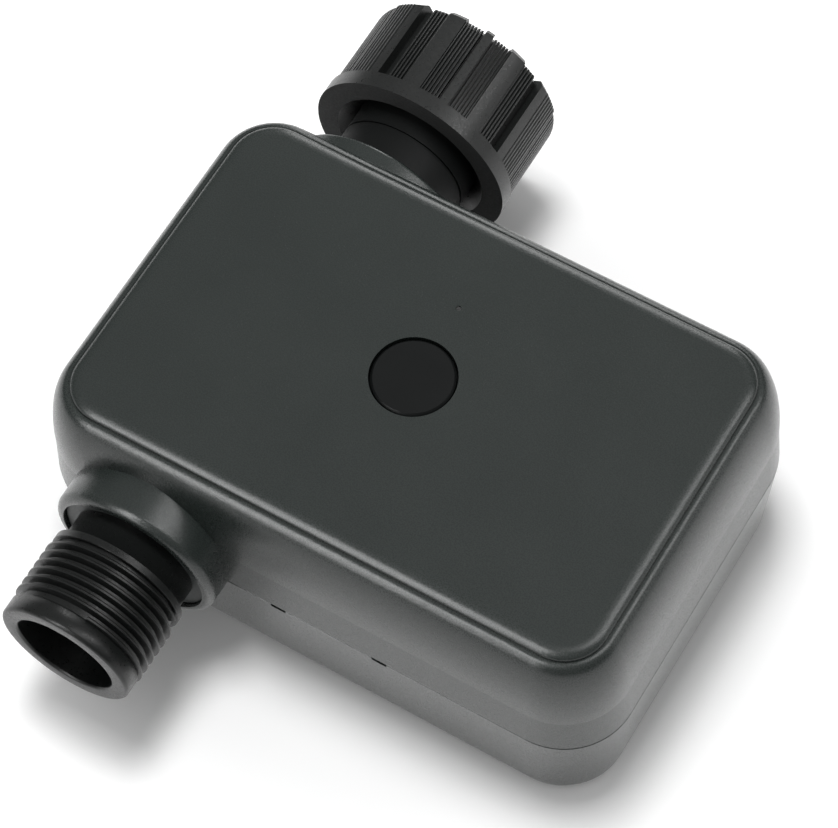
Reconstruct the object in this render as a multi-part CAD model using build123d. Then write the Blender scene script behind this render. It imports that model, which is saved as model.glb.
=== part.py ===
"""Smart water valve: a battery powered, motor driven ball valve in a two-shell plastic casing.

It lies on its back. X runs along the casing towards the batteries, Y along the water pipe towards
the inlet, Z out of the front panel. The origin is the middle of the whole part's footprint.
All lengths are millimetres.
"""
from build123d import *
import math
import os

os.makedirs("parts", exist_ok=True)

# Casing
casing_length = 115.0
casing_width = 77.2
casing_height = 48.6
corner_radius = 13.2
seam_height = 22.3
seam_bevel = 0.2
wall = 2.4
foot_lean = 1.65
foot_radius = 2.6
waist_lean = 0.6
shoulder_width = 4.2
shoulder_height = 15.8
panel_step = 1.3
panel_edge_width = 2.2
panel_edge_height = 1.2
groove_width = 0.35
groove_depth = 0.15
band_depth = 9.0
pry_slot_length = 3.0
pry_slot_height = 0.9
pry_slot_depth = 0.8
pry_slot_x = (-5.4, 15.1)
overrun = 1.0

# Rubber cord in the seam
seal_width = 1.0
seal_inset = 0.7
seal_thickness = 0.9
tongue_height = 0.5
tongue_slack = 0.1

# Water pipe: where it crosses the casing, and its collars
pipe_x = -31.5
pipe_height = 26.1
outlet_collar_radius = 16.2
outlet_collar_reach = 44.3
outlet_collar_round = 1.6
inlet_collar_radius = 18.0
inlet_collar_reach = 39.8
inlet_collar_round = 0.8
collar_bore_radius = 14.35
grommet_thickness = 3.0
outlet_grommet_recess = 0.9
inlet_grommet_recess = 3.0
collar_inner_length = 3.0
fit_gap = 0.02
saddle_place = 22.0
saddle_thickness = 2.4
saddle_reach = 18.5
rib_reach = 11.5
rib_start = 2.0

# Valve body and outlet
outlet_reach = 66.0
thread_radius = 13.22
thread_start = 50.0
thread_end = 62.5
lead_radius = 12.9
lead_round = 0.7
ring_radius = 13.0
ring_length = 1.5
neck_radius = 11.75
outlet_bore_radius = 9.6
outlet_bore_end = 30.0
port_start = 20.0
barrel_radius = 13.0
barrel_reach = 37.0
collar_ring_radius = 14.0
collar_ring_length = 1.6

# Ball, seats and stem
ball_radius = 10.0
port_radius = 6.0
ball_gap = 0.03
chamber_slack = 0.4
chamber_wall = 3.1
chamber_half_length = 13.0
seat_radius = 9.0
seat_outer_face = 11.5
seat_inner_face = 6.8
bonnet_reach = 16.4
bonnet_radius = 9.0
flange_thickness = 2.0
stem_radius = 3.5
stem_collar_radius = 5.2
stem_collar_thickness = 1.4
stem_tongue_width = 4.0
stem_tongue_depth = 2.2
stem_square = 3.6
running_gap = 0.05
o_ring_width = 1.2
o_ring_depth = 0.8

# Inlet tailpiece, nut and washer
tail_body_radius = 11.4
tail_ring_place = 27.0
tail_seat_end = 7.0
tail_shoulder = 33.0
tail_neck_radius = 12.6
tail_bore_radius = 9.6
tail_groove_place = 47.2
tail_groove_width = 0.6
tail_groove_depth = 0.4
tail_flange_radius = 14.8
tail_flange_start = 57.0
tail_flange_thickness = 3.2
strainer_thickness = 0.8
strainer_radius = 13.6
strainer_cup_radius = 8.6
strainer_cup_depth = 7.0
strainer_slots = 10
strainer_slot_width = 1.2
washer_thickness = 2.6
washer_inner_radius = 8.8

# Swivel nut, one inch pipe thread inside
nut_face = 50.3
nut_flange_radius = 19.9
nut_flange_thickness = 3.2
nut_reach = 71.5
nut_core_radius = 17.7
nut_grip_radius = 19.55
nut_bore_radius = 15.15
nut_thread_length = 7.6
nut_relief_radius = 15.6
nut_mouth_radius = 15.5
nut_hole_slack = 0.1
nut_seat_gap = 0.3
nut_chamfer = 1.0
nut_pad_setback = 2.5
nut_pattern_turn = 72.3
# Grip pads in half a turn: first and last angle, share of the grip height, share of the setback
nut_grip_shares = (
    (-2.5, 2.5, 1.0, 0.0),
    (4.0, 15.0, 0.65, 0.3),
    (15.0, 25.0, 1.0, 0.0),
    (25.0, 35.0, 0.65, 0.3),
    (42.0, 63.5, 1.0, 0.0),
    (63.5, 90.0, 0.8, 1.0),
)

# Battery well, cells and door
cell_radius = 7.25
cell_length = 50.3
cell_pitch = 14.7
cell_count = 4
cell_nub_radius = 2.75
cell_nub_height = 1.2
well_start = -3.0
well_wall = 1.3
well_roof = 1.8
well_slack = 0.1
spring_room = 2.1
contact_thickness = 0.4
contact_width = 9.0
contact_height = 10.0
door_thickness = 2.0
door_gap = 0.25
door_land = 2.4
door_end_land = 2.2
door_screw_land = 8.0
door_corner = 4.0
door_lip_thickness = 1.2
door_lip_depth = 1.2
door_lip_slack = 0.35
ledge_thickness = 1.8
door_seal_thickness = 0.8
door_seal_width = 1.4
door_tab_width = 9.0
door_tab_length = 1.0
door_tab_thickness = 1.1
door_tab_place = 18.0
door_screw_place = 20.0
door_screw_margin = 5.5
cell_door_gap = 0.2
cell_crimp = 0.5
well_headroom = 0.4
well_screw_inset = 5.8
door_screw_seat = 0.7
door_boss_height = 0.6

# Screws
case_screw_radius = 1.45
case_screw_head_radius = 2.5
case_screw_head_height = 1.6
case_screw_length = 14.0
screw_slack = 0.05
case_pocket_depth = 14.0
corner_screw_inset = 9.0
corner_screw_margin = 9.1
waist_screw_x = -9.8
waist_screw_margin = 7.1
boss_radius = 3.2
board_boss_radius = 2.4
small_screw_radius = 0.95
small_screw_head_radius = 1.9
small_screw_head_height = 1.2
small_screw_length = 4.6
door_screw_radius = 1.2
door_screw_head_radius = 2.4
door_screw_head_height = 1.2
door_screw_length = 3.4
door_screw_slack = 0.3
recess_width = 0.9
recess_depth = 0.7

# Gear train, all axes along X
gear_pressure_angle = 20.0
gear_backlash = 0.12
output_module = 0.8
train_module = 0.6
wheel_teeth = 30
pinion_teeth = 10
gear_plate = 1.4
gear_layer_one = 3.0
gear_layer = 2.0
gear_gap = 0.25
gear_cover = 1.2
gear_room = 0.4
gear_box_corner = 3.4
axle_radius = 1.0
axle_gap = 0.04
second_axle_angle = -36.9
first_axle_angle = 70.0
motor_axle_angle = 160.5
cam_hub_radius = 3.4
cam_lobe_radius = 2.0
switch_distance = 5.8
switch_depth = 5.0
switch_width = 6.4
switch_button = 0.3
gear_screw_radius = 1.0
gear_screw_inset = 2.6
gear_screw_head_radius = 1.8
gear_screw_head_height = 1.2
tooth_tip_share = 0.9
tooth_root_share = 1.2
tooth_waist_share = 0.8
axle_hub_radius = 1.8
rest_switch_angle = 155.0
quarter_turn = 90.0

# Motor
motor_radius = 10.05
motor_flat = 15.1
motor_length = 25.0
motor_boss_radius = 3.0
motor_boss_height = 0.9
motor_shaft_radius = 1.0
motor_shaft_depth = 3.0
motor_sleeve_wall = 1.2
motor_sleeve_length = 10.0
motor_slack = 0.1
terminal_size = 1.6
terminal_length = 2.4

# Circuit board and button
board_headroom = 5.4
board_thickness = 1.2
board_start = -19.5
board_end = 31.0
board_front = -27.5
board_back = 26.0
board_corner = 3.0
board_screw_inset = 3.0
button_x = -0.2
button_y = 0.6
button_hole_radius = 7.8
button_gap = 0.35
button_sink = 0.1
button_edge = 0.4
button_flange = 0.8
button_travel = 0.5
button_rest_gap = 0.3
membrane_radius = 11.0
membrane_rim = 1.2
membrane_thickness = 0.6
switch_body_size = 6.0
switch_body_height = 1.9
plunger_radius = 1.7
plunger_well = 0.9
light_x = -0.3
light_y = 16.1
light_radius = 0.45
light_gap = 0.05
light_foot_radius = 1.6
led_size = 1.6
led_height = 0.8
led_gap = 0.2
radio_length = 18.0
radio_width = 13.0
radio_height = 2.4
radio_board = 0.8
radio_antenna_share = 0.3
radio_x = 17.0
radio_y = -14.5
capacitor_radius = 3.1
capacitor_height = 3.6
capacitor_x = 22.0
capacitor_places = (2.0, 10.0)
plug_length = 6.0
plug_width = 4.6
plug_height = 3.2
plug_x = 8.0
plug_places = (14.0, 21.5)

# Places worked out from the sizes
half_length = casing_length / 2
half_width = casing_width / 2
shoulder_top = casing_height - panel_step
shoulder_base = shoulder_top - shoulder_height
ceiling = casing_height - wall
frame_y = (outlet_reach - nut_reach) / 2
board_bottom = ceiling - board_headroom
board_top = board_bottom + board_thickness
corner_screw_x = corner_screw_inset - half_length
corner_screw_y = half_width - corner_screw_margin
waist_screw_y = half_width - waist_screw_margin

flow = Plane(origin=(pipe_x, 0, pipe_height), x_dir=(1, 0, 0), z_dir=(0, 1, 0))


def write(name, shape):
    """Move a finished piece into the part's frame and write it to its own file."""
    export_step(Pos(0, frame_y, 0) * shape, f"parts/{name}.step")


def rod(where, start, end, outer, inner=0):
    """A round bar or tube along a plane's normal, between two distances from it."""
    section = Circle(outer)
    if inner:
        section -= Circle(inner)
    return extrude(where.offset(start) * section, end - start)


def turned(where, outline):
    """A solid turned round a plane's normal, from (distance along it, radius) points."""
    side = Plane(origin=where.origin, x_dir=where.x_dir, z_dir=-where.y_dir)
    face = make_face(Polyline(*[(radius, place) for place, radius in outline], close=True))
    return revolve(side * face, axis=Axis(where.origin, where.z_dir))


def block(low, high, corner=0):
    """A box between two corners, with its upright edges rounded where a radius is given."""
    size = [b - a for a, b in zip(low, high)]
    middle = [(a + b) / 2 for a, b in zip(low, high)]
    plan = RectangleRounded(size[0], size[1], corner) if corner else Rectangle(size[0], size[1])
    return extrude(Pos(middle[0], middle[1], low[2]) * plan, size[2])


def screw(where, radius, length, head_radius, head_height):
    """A cross-recessed pan head screw: its head stands up from the plane and its shank goes down."""
    body = rod(where, 0, head_height, head_radius) + rod(where, -length, 0, radius)
    rim = body.edges().filter_by(GeomType.CIRCLE).group_by(SortBy.RADIUS)[-1]
    top = max(rim, key=lambda edge: (edge.arc_center - where.origin).dot(where.z_dir))
    body = fillet(top, head_height / 2)
    cross = Rectangle(head_radius, recess_width) + Rectangle(recess_width, head_radius)
    return body - extrude(where.offset(head_height) * cross, -recess_depth)


def plan_path():
    """The casing's outline at the seam, on the plane of its back face."""
    return RectangleRounded(casing_length, casing_width, corner_radius).face().outer_wire()


def swept_form(edge, low, high):
    """The solid inside a wall section swept round the casing's outline."""
    path = plan_path()
    along = path % 0
    inward = Vector(0, 0, 1).cross(along)
    start = Plane(origin=path @ 0, x_dir=inward, z_dir=along)
    section = make_face(edge + Line((band_depth, high), (band_depth, low)))
    band = sweep(start * section, path=path)
    core_length = casing_length - band_depth * 2
    core_width = casing_width - band_depth * 2
    core = Pos(0, 0, low) * RectangleRounded(core_length, core_width, corner_radius - band_depth)
    return band + extrude(core, high - low)


def shoulder_arc(inset, top):
    """A quarter of an ellipse that rises from the wall and lies level where it meets the panel."""
    centre = (inset + shoulder_width, top - shoulder_height)
    return EllipticalCenterArc(centre, shoulder_width, shoulder_height, 180, arc_size=-90)


def outer_edge():
    """Wall section of the casing's outside, from the back face up to the front panel."""
    foot_top = (foot_lean * (1 - foot_radius / seam_height), foot_radius)
    foot_end = (foot_lean + foot_radius, 0)
    foot = RadiusArc(foot_end, foot_top, foot_radius)
    lower = Line(foot_top, (0, seam_height - seam_bevel))
    bevel_in = Line(lower @ 1, (seam_bevel, seam_height))
    bevel_out = Line(bevel_in @ 1, (0, seam_height + seam_bevel))
    upper = Line(bevel_out @ 1, (waist_lean, shoulder_base))
    shoulder = shoulder_arc(waist_lean, shoulder_top)
    line_start = waist_lean + shoulder_width
    line_end = line_start + groove_width
    groove = Polyline(
        (line_start, shoulder_top),
        (line_start, shoulder_top - groove_depth),
        (line_end, shoulder_top - groove_depth),
        (line_end, casing_height - panel_edge_height),
    )
    round_end = (line_end + panel_edge_width, casing_height)
    crest_centre = (round_end[0], casing_height - panel_edge_height)
    crest = EllipticalCenterArc(crest_centre, panel_edge_width, panel_edge_height, 180, arc_size=-90)
    top = Line(round_end, (band_depth, casing_height))
    floor = Line((band_depth, 0), foot_end)
    return floor + foot + lower + bevel_in + bevel_out + upper + shoulder + groove + crest + top


def inner_edge():
    """Wall section of the hollow inside, one wall thickness in from the outside."""
    floor = Line((band_depth, wall), (wall + foot_lean, wall))
    lower = Line(floor @ 1, (wall, seam_height))
    upper = Line(lower @ 1, (wall + waist_lean, ceiling - shoulder_height))
    return floor + lower + upper + shoulder_arc(wall + waist_lean, ceiling) + Line(
        (wall + waist_lean + shoulder_width, ceiling), (band_depth, ceiling)
    )


def ring_band(inset, width, low, height):
    """A flat band that follows the casing's outline at a given inset."""
    outside = RectangleRounded(
        casing_length - inset * 2, casing_width - inset * 2, corner_radius - inset
    )
    far = inset + width
    inside = RectangleRounded(casing_length - far * 2, casing_width - far * 2, corner_radius - far)
    return extrude(Pos(0, 0, low) * (outside - inside), height)


# Casing shells: one blank with both collars, hollowed and parted at the seam
outside = swept_form(outer_edge(), 0, casing_height)
hollow = swept_form(inner_edge(), wall, ceiling)
collar_root = half_width - wall - collar_inner_length


def collar(radius, reach, rounding):
    """A round collar on the flow axis, rounded at its open end; it points along its reach's sign."""
    side = math.copysign(1, reach)
    tube = rod(flow, side * collar_root, reach, radius)
    rim = tube.edges().sort_by(Axis.Y)[-1 if side > 0 else 0]
    return fillet(rim, rounding)


pipe_bores = rod(flow, -outlet_reach, -collar_root + overrun, collar_bore_radius)
pipe_bores += rod(flow, collar_root - overrun, nut_reach, collar_bore_radius)
blank = outside - hollow
blank += collar(outlet_collar_radius, -outlet_collar_reach, outlet_collar_round)
blank += collar(inlet_collar_radius, inlet_collar_reach, inlet_collar_round)
blank -= pipe_bores
seam_plane = Plane.XY.offset(seam_height)
lower = split(blank, seam_plane, keep=Keep.BOTTOM)
upper = split(blank, seam_plane, keep=Keep.TOP)

# Battery well and door outline
well_end = well_start + spring_room + cell_length + contact_thickness
well_half = cell_pitch * cell_count / 2 + well_slack
cell_bottom = door_thickness + door_lip_depth + cell_door_gap
cell_height = cell_bottom + cell_radius
well_ceiling = cell_height + cell_radius + well_headroom
well_top = well_ceiling + well_roof
door_start = well_start - door_land
door_low_x = door_start - door_screw_land
door_high_x = well_end + door_end_land
door_half = well_half + door_land
ledge_bottom = door_thickness + door_seal_thickness
ledge_top = ledge_bottom + ledge_thickness
screw_land_x = door_start - door_screw_land / 2
door_land_half = door_screw_place + door_screw_margin

# Case screws: two deep pockets in each pipe-side corner, two at the waist, two inside the well
corner_screws = [(corner_screw_x, side * corner_screw_y) for side in (-1, 1)]
waist_screws = [(waist_screw_x, side * waist_screw_y) for side in (-1, 1)]
well_screws = [(well_end - well_screw_inset, side * cell_pitch) for side in (-1, 1)]


def columns(places, low, high, radius):
    """Upright round columns at several places."""
    return [rod(Plane.XY.move(Location((x, y, 0))), low, high, radius) for x, y in places]


def door_plan(inset, start, low, high):
    """The door's outline between two levels: a wide plate and a narrower land for its screws."""
    plate = block((start + inset, -door_half + inset, low),
                  (door_high_x - inset, door_half - inset, high), door_corner)
    land = block((door_low_x + inset, -door_land_half + inset, low),
                 (well_end, door_land_half - inset, high), door_corner)
    return plate + land


def back_shell():
    """Lower half: battery well and ledge, saddle ribs for the pipe, screw columns, seam groove."""
    shell = lower
    shell += block(
        (well_start - well_wall, -well_half - well_wall, door_thickness),
        (well_end + well_wall, well_half + well_wall, well_top),
    )
    shell += door_plan(-well_wall, door_start, door_thickness, ledge_top) & outside
    shell += columns([(screw_land_x, door_screw_place), (screw_land_x, -door_screw_place)],
                     door_thickness, ledge_top + door_boss_height, door_screw_head_radius)
    shell += columns(corner_screws + waist_screws, wall, seam_height, boss_radius)
    for side in (-1, 1):
        shell += block(
            (pipe_x - saddle_reach, side * saddle_place - saddle_thickness / 2, wall),
            (pipe_x + barrel_radius, side * saddle_place + saddle_thickness / 2, seam_height),
        ) - rod(flow, -barrel_reach, barrel_reach, barrel_radius + running_gap)
    shell -= block(
        (well_start, -well_half, -overrun), (well_end, well_half, well_ceiling)
    )
    shell -= door_plan(0, door_start, -overrun, door_thickness)
    shell -= block(
        (door_start, -door_half, door_thickness),
        (door_high_x, door_half, ledge_bottom),
        door_corner,
    )
    for side in (-1, 1):
        place = side * door_tab_place
        reach = door_tab_width / 2 + door_gap
        shell -= block(
            (well_end, place - reach, door_thickness - door_tab_thickness - tongue_slack),
            (door_high_x + door_tab_length + tongue_slack, place + reach, ledge_bottom),
        )
        shell -= rod(Plane.XY.move(Location((screw_land_x, side * door_screw_place, 0))), 0,
                     door_thickness - door_screw_seat + door_screw_length + door_screw_slack,
                     door_screw_radius + door_screw_slack)
    shell -= columns(corner_screws + waist_screws, -overrun, case_pocket_depth,
                     case_screw_head_radius + screw_slack)
    shell -= columns(corner_screws + waist_screws + well_screws, wall, seam_height,
                     case_screw_radius + screw_slack)
    shell -= ring_band(seal_inset, seal_width, seam_height - seal_thickness - tongue_height,
                       seal_thickness + tongue_height)
    for place in pry_slot_x:
        shell -= block(
            (place - pry_slot_length / 2, -half_width - overrun, seam_height - pry_slot_height),
            (place + pry_slot_length / 2, -half_width + pry_slot_depth, seam_height),
        )
    return shell - pipe_bores


def front_shell():
    """Upper half: shoulder and stepped panel, button hole, light hole, screw and board columns."""
    shell = upper
    shell += columns(corner_screws + waist_screws, seam_height, ceiling, boss_radius)
    shell += columns(well_screws, well_top, ceiling, boss_radius)
    shell += columns(board_screws, board_top, ceiling, board_boss_radius)
    for side in (-1, 1):
        shell += block(
            (pipe_x - rib_reach, side * saddle_place - saddle_thickness / 2, pipe_height + rib_start),
            (pipe_x + rib_reach, side * saddle_place + saddle_thickness / 2, ceiling),
        ) - rod(flow, -barrel_reach, barrel_reach, barrel_radius + running_gap)
    tongue = ring_band(seal_inset + tongue_slack, seal_width - tongue_slack * 2,
                       seam_height - tongue_height, tongue_height)
    shell += tongue - pipe_bores
    for places, seat in ((corner_screws + waist_screws, case_pocket_depth),
                         (well_screws, well_ceiling)):
        shell -= columns(places, well_top, seat + case_screw_length + screw_slack,
                         case_screw_radius + screw_slack)
    shell -= columns(board_screws, board_top, board_bottom + small_screw_length + screw_slack,
                     small_screw_radius + screw_slack)
    shell -= rod(button_plane, 0, casing_height, button_hole_radius)
    shell -= rod(light_plane, 0, casing_height, light_radius + light_gap)
    return shell


# Gear train: places of the axles and layers along X
plate_face = pipe_x + bonnet_reach
layer_one = plate_face + gear_plate + gear_gap
layer_two = layer_one + gear_layer_one + gear_gap
layer_three = layer_two + gear_layer + gear_gap
cover_inside = layer_three + gear_layer + gear_gap
cover_face = cover_inside + gear_cover
output_pitch = output_module * wheel_teeth / 2
output_pinion_pitch = output_module * pinion_teeth / 2
train_pitch = train_module * wheel_teeth / 2
train_pinion_pitch = train_module * pinion_teeth / 2


def from_axle(axle, distance, angle):
    """The place at a distance from an axle, at an angle turned from Y towards Z."""
    turn = math.radians(angle)
    return (axle[0] + distance * math.cos(turn), axle[1] + distance * math.sin(turn))


stem_axle = (0, pipe_height)
second_axle = from_axle(stem_axle, output_pitch + output_pinion_pitch, second_axle_angle)
first_axle = from_axle(second_axle, train_pitch + train_pinion_pitch, first_axle_angle)
motor_axle = from_axle(first_axle, train_pitch + train_pinion_pitch, motor_axle_angle)
output_tip = output_pitch + output_module * tooth_tip_share
train_tip = train_pitch + train_module * tooth_tip_share
box_edge = gear_room + gear_cover
box_low_y = stem_axle[0] - output_tip - box_edge
box_high_y = first_axle[0] + train_tip + box_edge
box_low_z = second_axle[1] - train_tip - box_edge
box_high_z = stem_axle[1] + output_tip + box_edge


def across(axle):
    """The plane square to X through an axle, whose first direction is Y."""
    return Plane(origin=(0, axle[0], axle[1]), x_dir=(0, 1, 0), z_dir=(1, 0, 0))


box_middle = across(((box_low_y + box_high_y) / 2, (box_low_z + box_high_z) / 2))
post_y = (box_low_y + gear_screw_inset, box_high_y - gear_screw_inset)
post_z = (box_low_z + gear_screw_inset, box_high_z - gear_screw_inset)
post_planes = [across((y, z)) for y in post_y for z in post_z]


def box_block(start, end, inset=0):
    """The gear box's rounded outline between two places along X."""
    outline = RectangleRounded(
        box_high_y - box_low_y - inset * 2, box_high_z - box_low_z - inset * 2,
        gear_box_corner - inset,
    )
    return extrude(box_middle.offset(start) * outline, end - start)


def gear(axle, start, end, teeth, module, turn):
    """An involute spur gear on an axle; one tooth points along the angle turn."""
    pitch = module * teeth / 2
    pressure = math.radians(gear_pressure_angle)
    base = pitch * math.cos(pressure)
    root = pitch - module * tooth_root_share
    tip = pitch + module * tooth_tip_share
    half = math.pi / (2 * teeth) - gear_backlash / (4 * pitch)
    half += math.tan(pressure) - pressure

    def flank(radius):
        """Half the tooth's angle at a radius."""
        lean = math.acos(min(1, base / radius))
        return half - math.tan(lean) + lean

    flanks = [(radius, flank(max(radius, base))) for radius in (root, max(root, base), pitch, tip)]
    flanks[0] = (root, flanks[0][1] * tooth_waist_share)
    points = []
    for tooth in range(teeth):
        middle = math.radians(turn) + tooth * math.tau / teeth
        for radius, angle in flanks:
            points.append((radius, middle - angle))
        for radius, angle in reversed(flanks):
            points.append((radius, middle + angle))
    corners = [(radius * math.cos(a), radius * math.sin(a)) for radius, a in points]
    face = make_face(Polyline(*corners, close=True))
    return extrude(across(axle).offset(start) * face, end - start)


def gap_turn(angle, teeth):
    """The turn that puts a gap of a gear opposite a tooth that points along the angle."""
    return angle + 180 + 180 / teeth


# Circuit board and button places
button_plane = Plane(origin=(button_x, button_y, 0))
light_plane = Plane(origin=(light_x, light_y, 0))
board_low = (board_start + board_screw_inset, board_front + board_screw_inset)
board_high = (board_end - board_screw_inset, board_back - board_screw_inset)
board_screws = [
    board_low,
    (board_high[0], board_low[1]),
    board_high,
    (cover_face + board_screw_inset, board_high[1]),
]
membrane_bottom = ceiling - membrane_rim
plunger_top = membrane_bottom - membrane_thickness
switch_top = board_top + switch_body_height


def upright(places, height, down=False):
    """Planes at several places on one level, facing up or down."""
    facing = (0, 0, -1) if down else (0, 0, 1)
    return [Plane(origin=(x, y, height), x_dir=(1, 0, 0), z_dir=facing) for x, y in places]


def casing_seal():
    """Rubber cord in the seam groove, broken where the pipe crosses the seam."""
    cord = ring_band(seal_inset, seal_width, seam_height - tongue_height - seal_thickness,
                     seal_thickness)
    return cord - pipe_bores


def case_screws():
    """Six self-tapping screws, all driven from the back."""
    size = (case_screw_radius, case_screw_length, case_screw_head_radius, case_screw_head_height)
    planes = upright(corner_screws + waist_screws, case_pocket_depth, down=True)
    planes += upright(well_screws, well_ceiling, down=True)
    return [screw(plane, *size) for plane in planes]


def grommet(reach, recess, inner):
    """Rubber ring that seals a collar's bore against the pipe."""
    side = math.copysign(1, reach)
    face = reach - side * recess
    outer = collar_bore_radius - fit_gap
    ring = rod(flow, face, face - side * grommet_thickness, outer, inner + fit_gap)
    return chamfer(ring.edges().filter_by(GeomType.CIRCLE).group_by(SortBy.RADIUS)[-1], fit_gap * 10)


# Battery compartment
def battery_door():
    """Flat door with a locating lip, two hooked tabs and two counterbored screw holes."""
    plate = door_plan(door_gap, door_start, 0, door_thickness)
    lip = block((well_start + door_lip_slack, -well_half + door_lip_slack, door_thickness),
                (well_end - door_lip_slack, well_half - door_lip_slack,
                 door_thickness + door_lip_depth))
    lip_inset = door_lip_slack + door_lip_thickness
    lip -= block((well_start + lip_inset, -well_half + lip_inset, door_thickness),
                 (well_end - lip_inset, well_half - lip_inset, door_thickness + door_lip_depth))
    door = plate + lip
    for side in (-1, 1):
        place = side * door_tab_place
        door += block(
            (well_end, place - door_tab_width / 2, door_thickness - door_tab_thickness),
            (door_high_x - door_gap + door_tab_length, place + door_tab_width / 2, door_thickness),
        )
    places = [(screw_land_x, side * door_screw_place) for side in (-1, 1)]
    door -= columns(places, -overrun, door_thickness - door_screw_seat,
                    door_screw_head_radius + screw_slack)
    door -= columns(places, 0, door_thickness, door_screw_radius + screw_slack)
    return door


def door_screws():
    """Two captive screws at the door's free end."""
    planes = upright([(screw_land_x, side * door_screw_place) for side in (-1, 1)],
                     door_thickness - door_screw_seat, down=True)
    size = (door_screw_radius, door_screw_length, door_screw_head_radius, door_screw_head_height)
    return [screw(plane, *size) for plane in planes]


def door_seal():
    """Flat rubber frame between the door and the ledge round the well."""
    far = door_lip_slack
    ring = block((well_start - door_seal_width, -well_half - door_seal_width, door_thickness),
                 (well_end + door_seal_width, well_half + door_seal_width, ledge_bottom),
                 door_seal_width)
    return ring - block((well_start + far / 2, -well_half + far / 2, door_thickness),
                        (well_end - far / 2, well_half - far / 2, ledge_bottom))


def well_planes():
    """One plane for each cell at the end that holds its spring; neighbours lie opposite ways."""
    planes = []
    for place in range(cell_count):
        y = (place - (cell_count - 1) / 2) * cell_pitch
        start, way = ((well_start, 1), (well_end, -1))[place % 2]
        planes.append(Plane(origin=(start, y, cell_height), x_dir=(0, way, 0), z_dir=(way, 0, 0)))
    return planes


def cells():
    """Four dry cells: a can with a crimped groove at each end and a contact nub."""
    start = spring_room
    shoulder = start + cell_length - cell_nub_height
    outline = [
        (start, 0), (start, cell_radius - cell_crimp), (start + cell_crimp, cell_radius),
        (shoulder - cell_crimp, cell_radius), (shoulder, cell_radius - cell_crimp),
        (shoulder, cell_nub_radius), (shoulder + cell_nub_height, cell_nub_radius),
        (shoulder + cell_nub_height, 0),
    ]
    return [turned(plane, outline) for plane in well_planes()]


def contact_plate(plane, start):
    """A thin nickel plate square to the cell."""
    plate = Rectangle(contact_width, contact_height)
    return extrude(plane.offset(start) * plate, contact_thickness)


def battery_springs():
    """A bowed leaf spring for each cell's flat end, with its base plate."""
    rise = spring_room - contact_thickness
    chord = contact_width / 2 - contact_thickness
    bow_radius = (chord ** 2 + rise ** 2) / (2 * rise)
    springs = []
    for plane in well_planes():
        centre = contact_thickness + rise - bow_radius
        flat = Plane(origin=plane.origin, x_dir=plane.x_dir, z_dir=-plane.y_dir)
        arc = Pos(0, centre) * (Circle(bow_radius) - Circle(bow_radius - contact_thickness))
        arc &= Pos(0, contact_thickness + rise / 2) * Rectangle(contact_width, rise)
        bow = extrude(flat.offset(-contact_height / 2) * arc, contact_height)
        springs.append(contact_plate(plane, 0) + bow)
    return springs


def battery_plates():
    """A flat plate for each cell's nub."""
    return [contact_plate(plane, spring_room + cell_length) for plane in well_planes()]


# Water way
def valve_body():
    """Turned barrel with the outlet, ball chamber, bonnet boss and gear box flange."""
    chamber_outer = ball_radius + chamber_slack + chamber_wall
    ring_start = saddle_place + saddle_thickness / 2 + running_gap
    ring_end = saddle_place - saddle_thickness / 2 - running_gap
    half = [
        (barrel_reach, barrel_radius),
        (ring_start + collar_ring_length, barrel_radius),
        (ring_start + collar_ring_length, collar_ring_radius),
        (ring_start, collar_ring_radius), (ring_start, barrel_radius),
        (ring_end, barrel_radius), (ring_end, collar_ring_radius),
        (ring_end - collar_ring_length, collar_ring_radius),
        (ring_end - collar_ring_length, barrel_radius),
        (chamber_half_length, barrel_radius), (chamber_half_length, chamber_outer),
    ]
    outlet_side = [(-place, radius) for place, radius in half]
    inlet_side = [(min(place, tail_shoulder), radius) for place, radius in reversed(half)]
    outline = [
        (-outlet_reach, outlet_bore_radius), (-outlet_reach, lead_radius),
        (-thread_end - (thread_radius - lead_radius), lead_radius), (-thread_end, thread_radius),
        (-thread_start, thread_radius), (-thread_start, ring_radius),
        (-thread_start + ring_length, ring_radius), (-thread_start + ring_length, neck_radius),
        (-barrel_reach, neck_radius),
    ]
    outline += outlet_side + inlet_side + [
        (tail_shoulder, tail_body_radius + running_gap),
        (tail_seat_end, tail_body_radius + running_gap),
        (tail_seat_end, ball_radius + chamber_slack),
        (-seat_inner_face, ball_radius + chamber_slack),
        (-seat_inner_face, seat_radius + running_gap),
        (-seat_outer_face, seat_radius + running_gap),
        (-seat_outer_face, port_radius), (-port_start, port_radius),
        (-outlet_bore_end, outlet_bore_radius),
    ]
    body = turned(flow, outline)
    lead_rim = body.edges().filter_by(GeomType.CIRCLE).sort_by(Axis.Y).group_by(Axis.Y)[0]
    body = fillet(lead_rim.sort_by(SortBy.RADIUS)[-1], lead_round)
    boss = rod(stem_plane, chamber_outer / 2, bonnet_reach, bonnet_radius)
    boss -= rod(flow, -barrel_reach, barrel_reach, ball_radius + chamber_slack)
    body += boss - rod(flow, tail_seat_end, tail_shoulder, tail_body_radius + running_gap)
    body += box_block(plate_face - flange_thickness, plate_face)
    body -= [rod(plane, plate_face - flange_thickness, plate_face, gear_screw_radius + screw_slack)
             for plane in post_planes]
    body -= rod(stem_plane, 0, stem_collar_start + stem_collar_thickness + running_gap,
                stem_collar_radius + running_gap)
    return body - rod(stem_plane, 0, bonnet_reach, stem_radius + running_gap)


stem_plane = Plane(origin=(pipe_x, 0, pipe_height), x_dir=(0, 1, 0), z_dir=(1, 0, 0))
stem_collar_start = ball_radius + running_gap
stem_shoulder = stem_collar_start + stem_collar_thickness
stem_drive_start = bonnet_reach + gear_plate


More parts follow.
